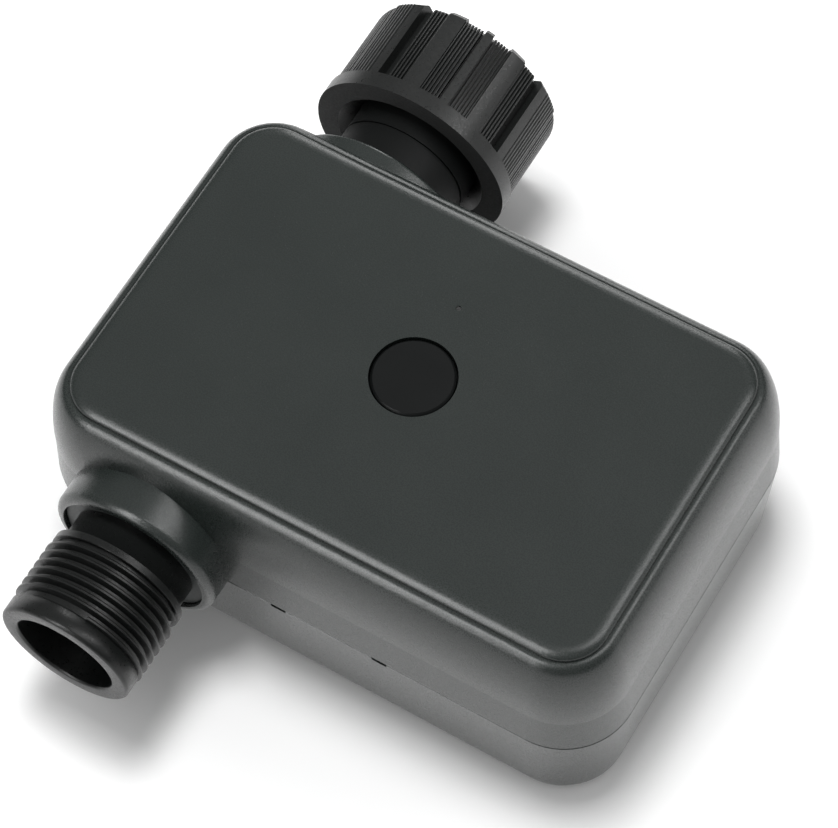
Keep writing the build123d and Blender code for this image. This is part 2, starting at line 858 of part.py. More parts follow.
def ball():
    """Drilled ball with a slot for the stem's tongue."""
    shape = Location(flow.origin) * Sphere(ball_radius)
    shape -= rod(flow, -ball_radius, ball_radius, port_radius)
    slot = Rectangle(ball_radius * 2, stem_tongue_width + running_gap * 2)
    slot_bottom = ball_radius - stem_tongue_depth - running_gap
    return shape - extrude(stem_plane.offset(slot_bottom) * slot, stem_tongue_depth * 2)


def ball_seats():
    """Two rings that the ball bears on."""
    clear_ball = Location(flow.origin) * Sphere(ball_radius + ball_gap)
    return [rod(flow, side * seat_inner_face, side * seat_outer_face, seat_radius, port_radius)
            - clear_ball for side in (-1, 1)]


def stem():
    """Stem with a tongue for the ball, a blow-out collar, two ring grooves and a square drive."""
    tongue = extrude(
        stem_plane.offset(ball_radius - stem_tongue_depth)
        * Rectangle(stem_collar_radius * 2 - stem_tongue_width / 2, stem_tongue_width),
        stem_tongue_depth + running_gap,
    )
    body = tongue + rod(stem_plane, stem_collar_start, stem_shoulder, stem_collar_radius)
    body += rod(stem_plane, stem_shoulder, stem_drive_start, stem_radius)
    square = Rectangle(stem_square, stem_square)
    drive_end = layer_three - pipe_x
    body += extrude(stem_plane.offset(stem_drive_start) * square, drive_end - stem_drive_start)
    for place in ring_places():
        body -= rod(stem_plane, place, place + o_ring_width, stem_radius + overrun,
                    stem_radius - o_ring_depth)
    return body


def ring_places():
    """Where the stem's two ring grooves start, measured from the flow axis."""
    first = stem_shoulder + o_ring_width / 2
    return (first, first + o_ring_width + o_ring_width / 2)


def rounded_ring(plane, start, width, inner, outer):
    """A rubber ring with a rounded section, between two radii."""
    side = Plane(origin=plane.origin, x_dir=plane.x_dir, z_dir=-plane.y_dir)
    section = Pos((inner + outer) / 2, start + width / 2) * RectangleRounded(
        outer - inner, width, (outer - inner) / 3)
    return revolve(side * section, axis=Axis(plane.origin, plane.z_dir))


def stem_rings():
    """The stem's two rubber rings."""
    inner = stem_radius - o_ring_depth + fit_gap
    return [rounded_ring(stem_plane, place + fit_gap, o_ring_width - fit_gap * 2, inner,
                         stem_radius + running_gap - fit_gap) for place in ring_places()]


def inlet_tailpiece():
    """Tube that closes the ball chamber, carries the nut and ends in the washer's flange."""
    flange_end = tail_flange_start + tail_flange_thickness
    outline = [
        (tail_seat_end, tail_body_radius), (tail_shoulder, tail_body_radius),
        (tail_shoulder, tail_neck_radius), (tail_groove_place, tail_neck_radius),
        (tail_groove_place, tail_neck_radius - tail_groove_depth),
        (tail_groove_place + tail_groove_width, tail_neck_radius - tail_groove_depth),
        (tail_groove_place + tail_groove_width, tail_neck_radius),
        (tail_flange_start, tail_neck_radius), (tail_flange_start, tail_flange_radius),
        (flange_end, tail_flange_radius), (flange_end, tail_bore_radius),
        (port_start + port_radius, tail_bore_radius), (port_start, port_radius),
        (seat_outer_face, port_radius), (seat_outer_face, seat_radius + running_gap),
        (tail_seat_end, seat_radius + running_gap),
    ]
    body = turned(flow, outline)
    return body - rod(flow, tail_ring_place, tail_ring_place + o_ring_width,
                      tail_body_radius + overrun, tail_body_radius - o_ring_depth)


def tail_ring():
    """Rubber ring between the tailpiece and the valve body."""
    return rounded_ring(flow, tail_ring_place + fit_gap, o_ring_width - fit_gap * 2,
                        tail_body_radius - o_ring_depth + fit_gap,
                        tail_body_radius + running_gap - fit_gap)


def inlet_strainer():
    """Moulded cup with slots round its side; its rim is held under the washer."""
    face = tail_flange_start + tail_flange_thickness
    bottom = face - strainer_cup_depth
    inner = strainer_cup_radius - strainer_thickness
    outline = [
        (bottom, 0), (bottom, strainer_cup_radius), (face, strainer_cup_radius),
        (face, strainer_radius), (face + strainer_thickness, strainer_radius),
        (face + strainer_thickness, inner), (bottom + strainer_thickness, inner),
        (bottom + strainer_thickness, 0),
    ]
    cup = turned(flow, outline)
    slot_start = bottom + strainer_thickness * 2
    for index in range(strainer_slots):
        turn = Rot(0, 0, index * 360 / strainer_slots)
        slot = turn * Pos(strainer_cup_radius, 0) * Rectangle(
            strainer_thickness * 4, strainer_slot_width)
        cup -= extrude(flow.offset(slot_start) * slot, face - strainer_thickness - slot_start)
    return cup


def inlet_washer():
    """Flat rubber washer at the bottom of the nut's thread."""
    start = tail_flange_start + tail_flange_thickness + strainer_thickness
    return rod(flow, start, start + washer_thickness, tail_flange_radius, washer_inner_radius)


def swivel_nut():
    """Ribbed union nut: flange and countersunk mouth, grip pads in groups, threaded bore."""
    flange_back = nut_face + nut_flange_thickness
    hole = tail_neck_radius + nut_hole_slack
    seat = tail_flange_start - nut_seat_gap
    outline = [
        (nut_face, nut_mouth_radius), (nut_face, nut_flange_radius),
        (flange_back, nut_flange_radius), (flange_back, nut_core_radius),
        (nut_reach - nut_chamfer, nut_core_radius), (nut_reach, nut_core_radius - nut_chamfer),
        (nut_reach, nut_bore_radius), (nut_reach - nut_thread_length, nut_bore_radius),
        (nut_reach - nut_thread_length, nut_relief_radius), (seat, nut_relief_radius),
        (seat, hole), (flange_back, hole),
    ]
    nut = turned(flow, outline)
    for first, last, height_share, setback_share in nut_grip_shares:
        height = nut_core_radius + (nut_grip_radius - nut_core_radius) * height_share
        end = nut_reach - nut_pad_setback * setback_share
        spans = [(first, last)] if first < 0 else [(first, last), (-last, -first)]
        for low, high in spans:
            pad = turned_sector(low, high, flange_back, end, height)
            nut += [turned_about_flow(pad, turn - nut_pattern_turn) for turn in (0, 180)]
    return nut


def turned_sector(first, last, start, end, radius):
    """A chamfered grip pad between two angles, standing on the nut's core."""
    inner = nut_core_radius - nut_chamfer
    outline = [(start, inner), (start, radius), (end - nut_chamfer, radius),
               (end, radius - nut_chamfer), (end, inner)]
    side = Plane(origin=flow.origin, x_dir=flow.x_dir, z_dir=-flow.y_dir)
    face = make_face(Polyline(*[(r, place) for place, r in outline], close=True))
    pad = revolve(side * face, axis=Axis(flow.origin, flow.z_dir), revolution_arc=last - first)
    return turned_about_flow(pad, first)


def turned_about_flow(shape, angle):
    """A shape turned round the flow axis."""
    return shape.rotate(Axis(flow.origin, flow.z_dir), angle)


# Gears, gear box and motor
def output_gear():
    """Wheel on the stem's square, with a hub and the lobe that works the limit switches."""
    toward = second_axle_angle
    shape = gear(stem_axle, layer_one, layer_one + gear_layer_one, wheel_teeth, output_module, toward)
    plane = across(stem_axle)
    shape += rod(plane, layer_one, layer_three + gear_layer, cam_hub_radius)
    lobe_axle = from_axle(stem_axle, cam_hub_radius, rest_switch_angle)
    shape += rod(across(lobe_axle), layer_one, layer_three - gear_gap, cam_lobe_radius)
    hole = stem_square + running_gap * 2
    return shape - extrude(plane.offset(layer_one) * Rectangle(hole, hole), layer_three - layer_one)


def second_gear():
    """Compound gear that drives the output wheel."""
    shape = gear(second_axle, layer_one, layer_two, pinion_teeth, output_module,
                 gap_turn(second_axle_angle, pinion_teeth))
    shape += gear(second_axle, layer_two, layer_three - gear_gap, wheel_teeth, train_module,
                  first_axle_angle)
    plane = across(second_axle)
    shape += rod(plane, layer_two, layer_three + gear_layer, axle_hub_radius)
    return shape - rod(plane, layer_one, cover_inside, axle_radius + axle_gap)


def first_gear():
    """Compound gear between the motor pinion and the second gear."""
    shape = gear(first_axle, layer_two, layer_three, pinion_teeth, train_module,
                 gap_turn(first_axle_angle, pinion_teeth))
    shape += gear(first_axle, layer_three, layer_three + gear_layer, wheel_teeth, train_module,
                  motor_axle_angle)
    plane = across(first_axle)
    shape += rod(plane, layer_one, layer_two, axle_hub_radius)
    return shape - rod(plane, layer_one, cover_inside, axle_radius + axle_gap)


def motor_pinion():
    """Brass pinion pressed on the motor's shaft."""
    shape = gear(motor_axle, layer_three, layer_three + gear_layer, pinion_teeth, train_module,
                 gap_turn(motor_axle_angle, pinion_teeth))
    return shape - rod(across(motor_axle), layer_three, cover_inside, motor_shaft_radius + fit_gap)


def motor_shaft():
    """Steel shaft from the motor through the pinion."""
    return rod(across(motor_axle), layer_three, cover_face + motor_shaft_depth, motor_shaft_radius)


def gear_axles():
    """Two fixed steel pins between the base and the cover."""
    return [rod(across(axle), plate_face, cover_face, axle_radius)
            for axle in (second_axle, first_axle)]


def gear_base():
    """Flat base plate of the gear box, on the valve body's flange."""
    plate = box_block(plate_face, plate_face + gear_plate)
    plate -= rod(across(stem_axle), plate_face, plate_face + gear_plate,
                 stem_radius + running_gap * 2)
    plate -= [rod(plane, plate_face, plate_face + gear_plate, gear_screw_radius + screw_slack)
              for plane in post_planes]
    return plate - [rod(across(axle), plate_face, plate_face + gear_plate, axle_radius + fit_gap)
                    for axle in (second_axle, first_axle)]


def motor_section(extra):
    """The motor can's section: a circle with two flats, grown all round."""
    size = motor_radius + extra
    return Circle(size) & Rectangle(size * 2, motor_flat + extra * 2)


def gear_cover_shell():
    """Deep gear box cover with corner posts and the sleeve that holds the motor."""
    floor = plate_face + gear_plate
    cover = box_block(floor, cover_face) - box_block(floor, cover_inside, gear_cover)
    cover += [rod(plane, floor, cover_face, gear_screw_inset) for plane in post_planes]
    motor_plane = across(motor_axle)
    sleeve = motor_section(motor_slack + motor_sleeve_wall) - motor_section(motor_slack)
    cover += extrude(motor_plane.offset(cover_face) * sleeve, motor_sleeve_length)
    cover -= rod(motor_plane, cover_inside, cover_face, motor_boss_radius + screw_slack)
    head_room = gear_screw_head_height + screw_slack
    for plane in post_planes:
        cover -= rod(plane, floor, cover_face, gear_screw_radius + screw_slack)
        cover -= rod(plane, cover_face - head_room, cover_face, gear_screw_head_radius + screw_slack)
    return cover - [rod(across(axle), cover_inside, cover_face, axle_radius + fit_gap)
                    for axle in (second_axle, first_axle)]


def gear_screws():
    """Four screws through the cover's posts into the valve body's flange."""
    seat = cover_face - gear_screw_head_height - screw_slack
    length = seat - plate_face + flange_thickness
    return [screw(plane.offset(seat), gear_screw_radius, length, gear_screw_head_radius,
                  gear_screw_head_height) for plane in post_planes]


def limit_switches():
    """Two small switches beside the output gear's lobe: one for open, one for closed."""
    switches = []
    for angle in (rest_switch_angle, rest_switch_angle + quarter_turn):
        plane = across(stem_axle)
        plane = Plane(origin=plane.origin, x_dir=(0, *unit(angle)), z_dir=(1, 0, 0))
        case = Pos(switch_distance + switch_depth / 2, 0) * Rectangle(switch_depth, switch_width)
        key = Pos(switch_distance - switch_button / 2, 0) * Rectangle(
            switch_button, switch_button * 4)
        switches.append(extrude(plane.offset(layer_two) * (case + key), cover_inside - layer_two))
    return switches


def unit(angle):
    """The Y and Z shares of a direction turned from Y towards Z."""
    return (math.cos(math.radians(angle)), math.sin(math.radians(angle)))


def gear_motor():
    """Geared motor in a flattened can, with a front boss and two rear terminals."""
    plane = across(motor_axle)
    end = cover_face + motor_length
    can = extrude(plane.offset(cover_face) * motor_section(0), motor_length)
    can = chamfer(can.edges().group_by(Axis.X)[-1], motor_slack * 5)
    can += rod(plane, cover_face - motor_boss_height, cover_face, motor_boss_radius)
    for side in (-1, 1):
        tag = Pos(side * motor_radius / 2, 0) * Rectangle(terminal_size / 4, terminal_size)
        can += extrude(plane.offset(end) * tag, terminal_length)
    return can - rod(plane, cover_face - motor_boss_height, cover_face + motor_shaft_depth,
                     motor_shaft_radius + running_gap)


# Circuit board and button
def circuit_board():
    """Board screwed up under the front panel."""
    board = block((board_start, board_front, board_bottom), (board_end, board_back, board_top),
                  board_corner)
    return board - columns(board_screws, board_bottom, board_top, small_screw_radius + screw_slack)


def board_screw_set():
    """Four screws that hold the board to the front shell's columns."""
    return [screw(plane, small_screw_radius, small_screw_length, small_screw_head_radius,
                  small_screw_head_height) for plane in upright(board_screws, board_bottom, True)]


def button_cap():
    """Round push cap with an edge chamfer and the inner flange that keeps it in."""
    top = casing_height - button_sink
    radius = button_hole_radius - button_gap
    flange_top = ceiling - button_rest_gap
    cap = rod(button_plane, flange_top, top, radius)
    cap = chamfer(cap.edges().group_by(Axis.Z)[-1], button_edge)
    return cap + rod(button_plane, membrane_bottom, flange_top, button_hole_radius + button_flange)


def button_membrane():
    """Rubber cup glued under the panel: a thick rim round a thin web."""
    cup = rod(button_plane, plunger_top, ceiling, membrane_radius)
    return cup - rod(button_plane, membrane_bottom, ceiling, membrane_radius - membrane_rim)


def tact_switch():
    """Square switch body with a well for its plunger."""
    half = switch_body_size / 2
    body = block((button_x - half, button_y - half, board_top),
                 (button_x + half, button_y + half, switch_top))
    return body - rod(button_plane, switch_top - plunger_well, switch_top,
                      plunger_radius + running_gap)


def switch_plunger():
    """The switch's own plunger, under the membrane."""
    return rod(button_plane, switch_top - plunger_well + button_travel + running_gap, plunger_top,
               plunger_radius)


def light_pipe():
    """Clear pin that carries the indicator's light to the pinhole in the panel."""
    foot = board_top + led_height + led_gap
    pin = rod(light_plane, ceiling, casing_height - button_sink, light_radius)
    return pin + rod(light_plane, foot, ceiling, light_foot_radius)


def status_led():
    """Surface mounted indicator under the light pipe."""
    half = led_size / 2
    return block((light_x - half, light_y - half, board_top),
                 (light_x + half, light_y + half, board_top + led_height))


def radio_module():
    """Radio module under a metal can, on its own small board."""
    half = (radio_length / 2, radio_width / 2)
    board = block((radio_x - half[0], radio_y - half[1], board_top),
                  (radio_x + half[0], radio_y + half[1], board_top + radio_board))
    antenna = radio_length * radio_antenna_share
    can = block((radio_x - half[0] + antenna, radio_y - half[1] + radio_board, board_top),
                (radio_x + half[0] - radio_board, radio_y + half[1] - radio_board,
                 board_top + radio_height), radio_board)
    return board + can


def capacitors():
    """Two electrolytic capacitors standing on the board."""
    return [rod(Plane(origin=(capacitor_x, y, 0)), board_top, board_top + capacitor_height,
                capacitor_radius) for y in capacitor_places]


def board_plugs():
    """Two plugs: one for the motor and switches, one for the battery leads."""
    return [block((plug_x, y - plug_width / 2, board_top),
                  (plug_x + plug_length, y + plug_width / 2, board_top + plug_height))
            for y in plug_places]


pieces = {
    "front_shell": front_shell,
    "back_shell": back_shell,
    "casing_seal": casing_seal,
    "case_screws": case_screws,
    "outlet_grommet": lambda: grommet(-outlet_collar_reach, outlet_grommet_recess, neck_radius),
    "inlet_grommet": lambda: grommet(inlet_collar_reach, inlet_grommet_recess, tail_neck_radius),
    "battery_door": battery_door,
    "battery_door_screws": door_screws,
    "battery_door_seal": door_seal,
    "battery_cells": cells,
    "battery_springs": battery_springs,
    "battery_plates": battery_plates,
    "valve_body": valve_body,
    "valve_ball": ball,
    "ball_seats": ball_seats,
    "valve_stem": stem,
    "stem_rings": stem_rings,
    "inlet_tailpiece": inlet_tailpiece,
    "tailpiece_ring": tail_ring,
    "inlet_strainer": inlet_strainer,
    "inlet_washer": inlet_washer,
    "swivel_nut": swivel_nut,
    "output_gear": output_gear,
    "second_gear": second_gear,
    "first_gear": first_gear,
    "motor_pinion": motor_pinion,
    "motor_shaft": motor_shaft,
    "gear_axles": gear_axles,
    "gear_box_base": gear_base,
    "gear_box_cover": gear_cover_shell,
    "gear_box_screws": gear_screws,
    "limit_switches": limit_switches,
    "gear_motor": gear_motor,
    "circuit_board": circuit_board,
    "board_screws": board_screw_set,
    "button_cap": button_cap,
    "button_membrane": button_membrane,
    "tact_switch": tact_switch,
    "switch_plunger": switch_plunger,
    "light_pipe": light_pipe,
    "status_led": status_led,
    "radio_module": radio_module,
    "board_capacitors": capacitors,
    "board_plugs": board_plugs,
}

for name, make in pieces.items():
    shape = make()
    write(name, Compound(shape) if isinstance(shape, list) else shape)
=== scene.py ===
"""Smart water valve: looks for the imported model. Lengths are metres unless a name says mm."""
import math

import bmesh
import bpy
from mathutils import Matrix, Vector


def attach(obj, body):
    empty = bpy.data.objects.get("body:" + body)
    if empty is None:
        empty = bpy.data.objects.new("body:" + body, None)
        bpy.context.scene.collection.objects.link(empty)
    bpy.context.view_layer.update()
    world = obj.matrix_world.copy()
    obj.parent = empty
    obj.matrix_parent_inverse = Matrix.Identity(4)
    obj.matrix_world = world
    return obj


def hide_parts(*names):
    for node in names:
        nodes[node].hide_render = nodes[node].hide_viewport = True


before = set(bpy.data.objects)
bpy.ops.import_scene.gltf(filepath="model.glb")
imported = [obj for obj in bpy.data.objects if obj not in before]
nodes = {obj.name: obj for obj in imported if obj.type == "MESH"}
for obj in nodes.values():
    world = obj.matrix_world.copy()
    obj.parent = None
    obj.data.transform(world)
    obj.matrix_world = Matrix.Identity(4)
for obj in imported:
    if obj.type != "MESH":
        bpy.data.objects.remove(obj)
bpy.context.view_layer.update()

MM = 0.001


# Camera: a long lens looks down on the front panel from the outlet's side, slightly rolled.
# Its place comes from the outlines of the casing, the collars and the nut in the photograph.
def camera_axes(azimuth, elevation, roll):
    """The camera's right, up and back directions, from three angles in degrees."""
    a, e, t = (math.radians(v) for v in (azimuth, elevation, roll))
    back = Vector((math.sin(a) * math.cos(e), -math.cos(a) * math.cos(e), math.sin(e)))
    right = Vector((math.cos(a), math.sin(a), 0))
    up = back.cross(right)
    return (right * math.cos(t) + up * math.sin(t),
            up * math.cos(t) - right * math.sin(t), back)


photo_width = 838
focal_pixels = 3370.99
camera_distance = 620.45 * MM
camera_shift_right, camera_shift_up = -0.51 * MM, 16.95 * MM
casing_middle = Vector((0, -2.75 * MM, 0))
cam_right, cam_up, cam_back = camera_axes(34.31, 61.95, -4.07)
lens_data = bpy.data.cameras.new("camera")
lens_data.sensor_fit = "HORIZONTAL"
lens_data.sensor_width = 36
lens_data.lens = focal_pixels / photo_width * lens_data.sensor_width
lens_data.clip_start = 0.05
camera = bpy.data.objects.new("camera", lens_data)
bpy.context.collection.objects.link(camera)
place = (casing_middle + cam_back * camera_distance
         + cam_right * camera_shift_right + cam_up * camera_shift_up)
camera.matrix_world = Matrix.Translation(place) @ Matrix(
    (cam_right, cam_up, cam_back)).transposed().to_4x4()
bpy.context.scene.camera = camera
bpy.context.scene.view_settings.view_transform = "Standard"


# Floor: a plain white sweep that keeps the object's soft shadow. Its glow to the camera is weak
# near the object, a painted shade that deepens and tightens that shadow, and fades to plain white
# away from it. It is clear from below and round the casing's foot, so that the back can be seen
# and lit.
def node_material(name):
    """An empty node material and its tree."""
    material = bpy.data.materials.new(name)
    material.use_nodes = True
    tree = material.node_tree
    tree.nodes.clear()
    return material, tree


def add_node(tree, kind, x=0, y=0, **settings):
    """A node placed at x, y with its own settings."""
    node = tree.nodes.new(kind)
    node.location = (x, y)
    for key, value in settings.items():
        setattr(node, key, value)
    return node


floor_size = 6.0
floor_drop = 0.05 * MM
floor_white, floor_white_seen = 0.92, 0.9
# The camera's glow close to the object is kept low: painted shade round it. Far off it is plain
# white.
glow_mirrored, glow_in_painted_shade, glow_far = 0.34, 0.04, 0.7
fade_start, fade_end = 55 * MM, 140 * MM
foot_half, foot_round, foot_gap = (53.64 * MM, 37.49 * MM, 0), 9.34 * MM, 0.2 * MM
bpy.ops.mesh.primitive_plane_add(size=floor_size)
floor = bpy.context.object
floor.name = "floor"
floor_material, floor_tree = node_material("white_floor")
floor_link = floor_tree.links.new
floor_out = add_node(floor_tree, "ShaderNodeOutputMaterial", 600)
floor_where = add_node(floor_tree, "ShaderNodeTexCoord", -900, -400)
floor_path = add_node(floor_tree, "ShaderNodeLightPath", -700)

floor_tone = add_node(floor_tree, "ShaderNodeMapRange", -450, 200)
floor_tone.inputs["To Min"].default_value = floor_white
floor_tone.inputs["To Max"].default_value = floor_white_seen
floor_diffuse = add_node(floor_tree, "ShaderNodeBsdfDiffuse", 0, 100)
floor_link(floor_path.outputs["Is Camera Ray"], floor_tone.inputs["Value"])
floor_link(floor_tone.outputs["Result"], floor_diffuse.inputs["Color"])

# The floor's glow: one level in reflections, another to the camera that grows with the distance:
# weak near the object as painted shade, plain white far from it.
floor_shown = add_node(floor_tree, "ShaderNodeMath", -450, -200, operation="MAXIMUM")
floor_level = add_node(floor_tree, "ShaderNodeMapRange", -250, -100)
floor_level.inputs["To Min"].default_value = 0.0
floor_level.inputs["To Max"].default_value = glow_mirrored
floor_reach = add_node(floor_tree, "ShaderNodeVectorMath", -700, -400, operation="LENGTH")
floor_shade_to_white = add_node(floor_tree, "ShaderNodeMapRange", -450, -400)
floor_shade_to_white.interpolation_type = "SMOOTHSTEP"
for socket, value in (("From Min", fade_start), ("From Max", fade_end),
                      ("To Min", glow_in_painted_shade), ("To Max", glow_far)):
    floor_shade_to_white.inputs[socket].default_value = value
floor_sum = add_node(floor_tree, "ShaderNodeMath", -100, 0, operation="MULTIPLY_ADD")
floor_glow = add_node(floor_tree, "ShaderNodeEmission", 0, -100)
floor_glow.inputs["Color"].default_value = (1, 1, 1, 1)
floor_both = add_node(floor_tree, "ShaderNodeAddShader", 300, 100)
floor_link(floor_path.outputs["Is Glossy Ray"], floor_shown.inputs[0])
floor_link(floor_path.outputs["Is Transmission Ray"], floor_shown.inputs[1])
floor_link(floor_shown.outputs[0], floor_level.inputs["Value"])
floor_link(floor_where.outputs["Object"], floor_reach.inputs[0])
floor_link(floor_reach.outputs["Value"], floor_shade_to_white.inputs["Value"])
floor_link(floor_path.outputs["Is Camera Ray"], floor_sum.inputs[0])
floor_link(floor_shade_to_white.outputs["Result"], floor_sum.inputs[1])
floor_link(floor_level.outputs["Result"], floor_sum.inputs[2])
floor_link(floor_sum.outputs[0], floor_glow.inputs["Strength"])
floor_link(floor_diffuse.outputs[0], floor_both.inputs[0])
floor_link(floor_glow.outputs[0], floor_both.inputs[1])

# The clear part: the floor's underside, and a rounded rectangle about the part's middle. It lies
# just inside the casing's foot on three sides, and reaches about 5 mm past it on the nut's side.
foot_steps = [add_node(floor_tree, "ShaderNodeVectorMath", -700 + 200 * k, -700, operation=kind)
              for k, kind in enumerate(("ABSOLUTE", "SUBTRACT", "MAXIMUM", "LENGTH"))]
foot_steps[1].inputs[1].default_value = [max(half - foot_round, 0) for half in foot_half]
foot_steps[2].inputs[1].default_value = (0, 0, 0)
foot_inside = add_node(floor_tree, "ShaderNodeMath", 100, -700, operation="LESS_THAN")
foot_inside.inputs[1].default_value = foot_round - foot_gap
floor_side = add_node(floor_tree, "ShaderNodeNewGeometry", 100, -500)
floor_open = add_node(floor_tree, "ShaderNodeMath", 300, -500, operation="MAXIMUM")
floor_clear = add_node(floor_tree, "ShaderNodeBsdfTransparent", 300, -300)
floor_mix = add_node(floor_tree, "ShaderNodeMixShader", 450)
floor_link(floor_where.outputs["Object"], foot_steps[0].inputs[0])
for before, after in zip(foot_steps, foot_steps[1:]):
    floor_link(before.outputs[0], after.inputs[0])
floor_link(foot_steps[3].outputs["Value"], foot_inside.inputs[0])
floor_link(foot_inside.outputs[0], floor_open.inputs[0])
floor_link(floor_side.outputs["Backfacing"], floor_open.inputs[1])
floor_link(floor_open.outputs[0], floor_mix.inputs[0])
floor_link(floor_both.outputs[0], floor_mix.inputs[1])
floor_link(floor_clear.outputs[0], floor_mix.inputs[2])
floor_link(floor_mix.outputs[0], floor_out.inputs["Surface"])
floor.location.z = -floor_drop
floor.data.materials.append(floor_material)

# Studio light: a dim surround, brightest overhead and below the floor, a soft key box overhead
# that casts the close shadow, and narrow strips that draw the bright lines along the edges.
sky_low, sky_high, sky_from, sky_to = 0.2, 0.53, 0.1, 0.85
below_more, below_from, below_to = 0.8, -0.05, -0.3
world = bpy.data.worlds.new("studio")
bpy.context.scene.world = world
world.use_nodes = True
world_tree = world.node_tree
world_tree.nodes.clear()
world_link = world_tree.links.new
sky_where = add_node(world_tree, "ShaderNodeTexCoord", -700)
sky_split = add_node(world_tree, "ShaderNodeSeparateXYZ", -500)
sky_ramp = add_node(world_tree, "ShaderNodeMapRange", -300)
sky_ramp.interpolation_type = "SMOOTHSTEP"
below_ramp = add_node(world_tree, "ShaderNodeMapRange", -300, -300)
for ramp, values in ((sky_ramp, (sky_from, sky_to, sky_low, sky_high)),
                     (below_ramp, (below_from, below_to, 0, below_more))):
    for socket, value in zip(("From Min", "From Max", "To Min", "To Max"), values):
        ramp.inputs[socket].default_value = value
sky_level = add_node(world_tree, "ShaderNodeMath", -150, -150, operation="ADD")
sky = add_node(world_tree, "ShaderNodeBackground", 0)
sky_white = add_node(world_tree, "ShaderNodeBackground", 0, -150)
for light in (sky, sky_white):
    light.inputs["Color"].default_value = (1, 1, 1, 1)
sky_mix = add_node(world_tree, "ShaderNodeMixShader", 300)
sky_path = add_node(world_tree, "ShaderNodeLightPath", 0, 300)
sky_out = add_node(world_tree, "ShaderNodeOutputWorld", 600)
world_link(sky_where.outputs["Generated"], sky_split.inputs[0])
world_link(sky_split.outputs["Z"], sky_ramp.inputs["Value"])
world_link(sky_split.outputs["Z"], below_ramp.inputs["Value"])
world_link(sky_ramp.outputs["Result"], sky_level.inputs[0])
world_link(below_ramp.outputs["Result"], sky_level.inputs[1])
world_link(sky_level.outputs[0], sky.inputs["Strength"])
world_link(sky_path.outputs["Is Camera Ray"], sky_mix.inputs[0])
world_link(sky.outputs[0], sky_mix.inputs[1])
world_link(sky_white.outputs[0], sky_mix.inputs[2])
world_link(sky_mix.outputs[0], sky_out.inputs["Surface"])


def soft_box(name, direction, distance, width, height, power):
    """An area lamp that faces the middle of the casing."""
    target = Vector((0, 0, 0.02))
    light = bpy.data.lights.new(name, "AREA")
    light.shape = "RECTANGLE"
    light.size, light.size_y = width, height
    light.energy = power
    lamp = bpy.data.objects.new(name, light)
    bpy.context.collection.objects.link(lamp)
    towards = Vector(direction).normalized()
    lamp.location = target + towards * distance
    lamp.rotation_euler = (-towards).to_track_quat("-Z", "Y").to_euler()
    return lamp


key_distance, strip_distance = 1.2, 1.0
key = soft_box("light_key", (-0.11, 0.09, 1.0), key_distance, 0.36, 0.36, 11.0)
key.visible_glossy = False
strips = (   # name, direction, width, height, power
    ("light_front", (-0.265, -0.62, 0.74), 0.25, 0.9, 7.6),
    ("light_front_low", (-0.265, -0.92, 0.30), 0.25, 0.3, 1.7),
    ("light_right", (0.45, 0.31, 0.82), 0.16, 0.9, 3.4),
    ("light_right_low", (0.88, 0.388, 0.27), 0.25, 0.3, 0.4),
    ("light_back", (-0.265, 0.88, 0.40), 0.3, 0.6, 2.8),
)
for name, direction, width, height, power in strips:
    strip = soft_box(name, direction, strip_distance, width, height, power)
    strip.visible_diffuse = False


# Moulded plastic: the tool's fine spark finish shows as a close, soft grain that breaks up the
# highlights, and a very faint unevenness in colour.
def grain_group():
    """Tone, roughness and normal of a moulded skin, from the object's own coordinates."""
    broad_scale, skin_depth = 60, 0.05 * MM
    tree = bpy.data.node_groups.new("moulded_grain", "ShaderNodeTree")
    face = tree.interface
    for name, kind, value in (("Vector", "NodeSocketVector", None),
                              ("Grain Size", "NodeSocketFloat", 0.0003),
                              ("Strength", "NodeSocketFloat", 0.2),
                              ("Roughness", "NodeSocketFloat", 0.45),
                              ("Roughness Spread", "NodeSocketFloat", 0.06)):
        socket = face.new_socket(name, in_out="INPUT", socket_type=kind)
        if value is not None:
            socket.default_value = value
    face.new_socket("Tone", in_out="OUTPUT", socket_type="NodeSocketFloat")
    face.new_socket("Roughness", in_out="OUTPUT", socket_type="NodeSocketFloat")
    face.new_socket("Normal", in_out="OUTPUT", socket_type="NodeSocketVector")
    link = tree.links.new
    enter = add_node(tree, "NodeGroupInput", -900)
    leave = add_node(tree, "NodeGroupOutput", 500)
    scale = add_node(tree, "ShaderNodeMath", -650, -150, operation="DIVIDE")
    scale.inputs[0].default_value = 1
    link(enter.outputs["Grain Size"], scale.inputs[1])
    fine = add_node(tree, "ShaderNodeTexNoise", -450, -100)
    fine.inputs["Detail"].default_value = 2
    fine.inputs["Roughness"].default_value = 0.6
    link(enter.outputs["Vector"], fine.inputs["Vector"])
    link(scale.outputs[0], fine.inputs["Scale"])
    broad = add_node(tree, "ShaderNodeTexNoise", -450, 250)
    broad.inputs["Scale"].default_value = broad_scale
    broad.inputs["Detail"].default_value = 3
    link(enter.outputs["Vector"], broad.inputs["Vector"])
    bump = add_node(tree, "ShaderNodeBump", -150, -250)
    bump.inputs["Distance"].default_value = skin_depth
    link(enter.outputs["Strength"], bump.inputs["Strength"])
    link(fine.outputs["Fac"], bump.inputs["Height"])
    spread = add_node(tree, "ShaderNodeMapRange", -150, 50)
    link(fine.outputs["Fac"], spread.inputs["Value"])
    spread.inputs["From Min"].default_value = 0.3
    spread.inputs["From Max"].default_value = 0.7
    low = add_node(tree, "ShaderNodeMath", -300, -450, operation="SUBTRACT")
    high = add_node(tree, "ShaderNodeMath", -300, -600, operation="ADD")
    for node in (low, high):
        link(enter.outputs["Roughness"], node.inputs[0])
        link(enter.outputs["Roughness Spread"], node.inputs[1])
    link(low.outputs[0], spread.inputs["To Min"])
    link(high.outputs[0], spread.inputs["To Max"])
    link(broad.outputs["Fac"], leave.inputs["Tone"])
    link(spread.outputs["Result"], leave.inputs["Roughness"])
    link(bump.outputs["Normal"], leave.inputs["Normal"])
    return tree


moulded_grain = grain_group()


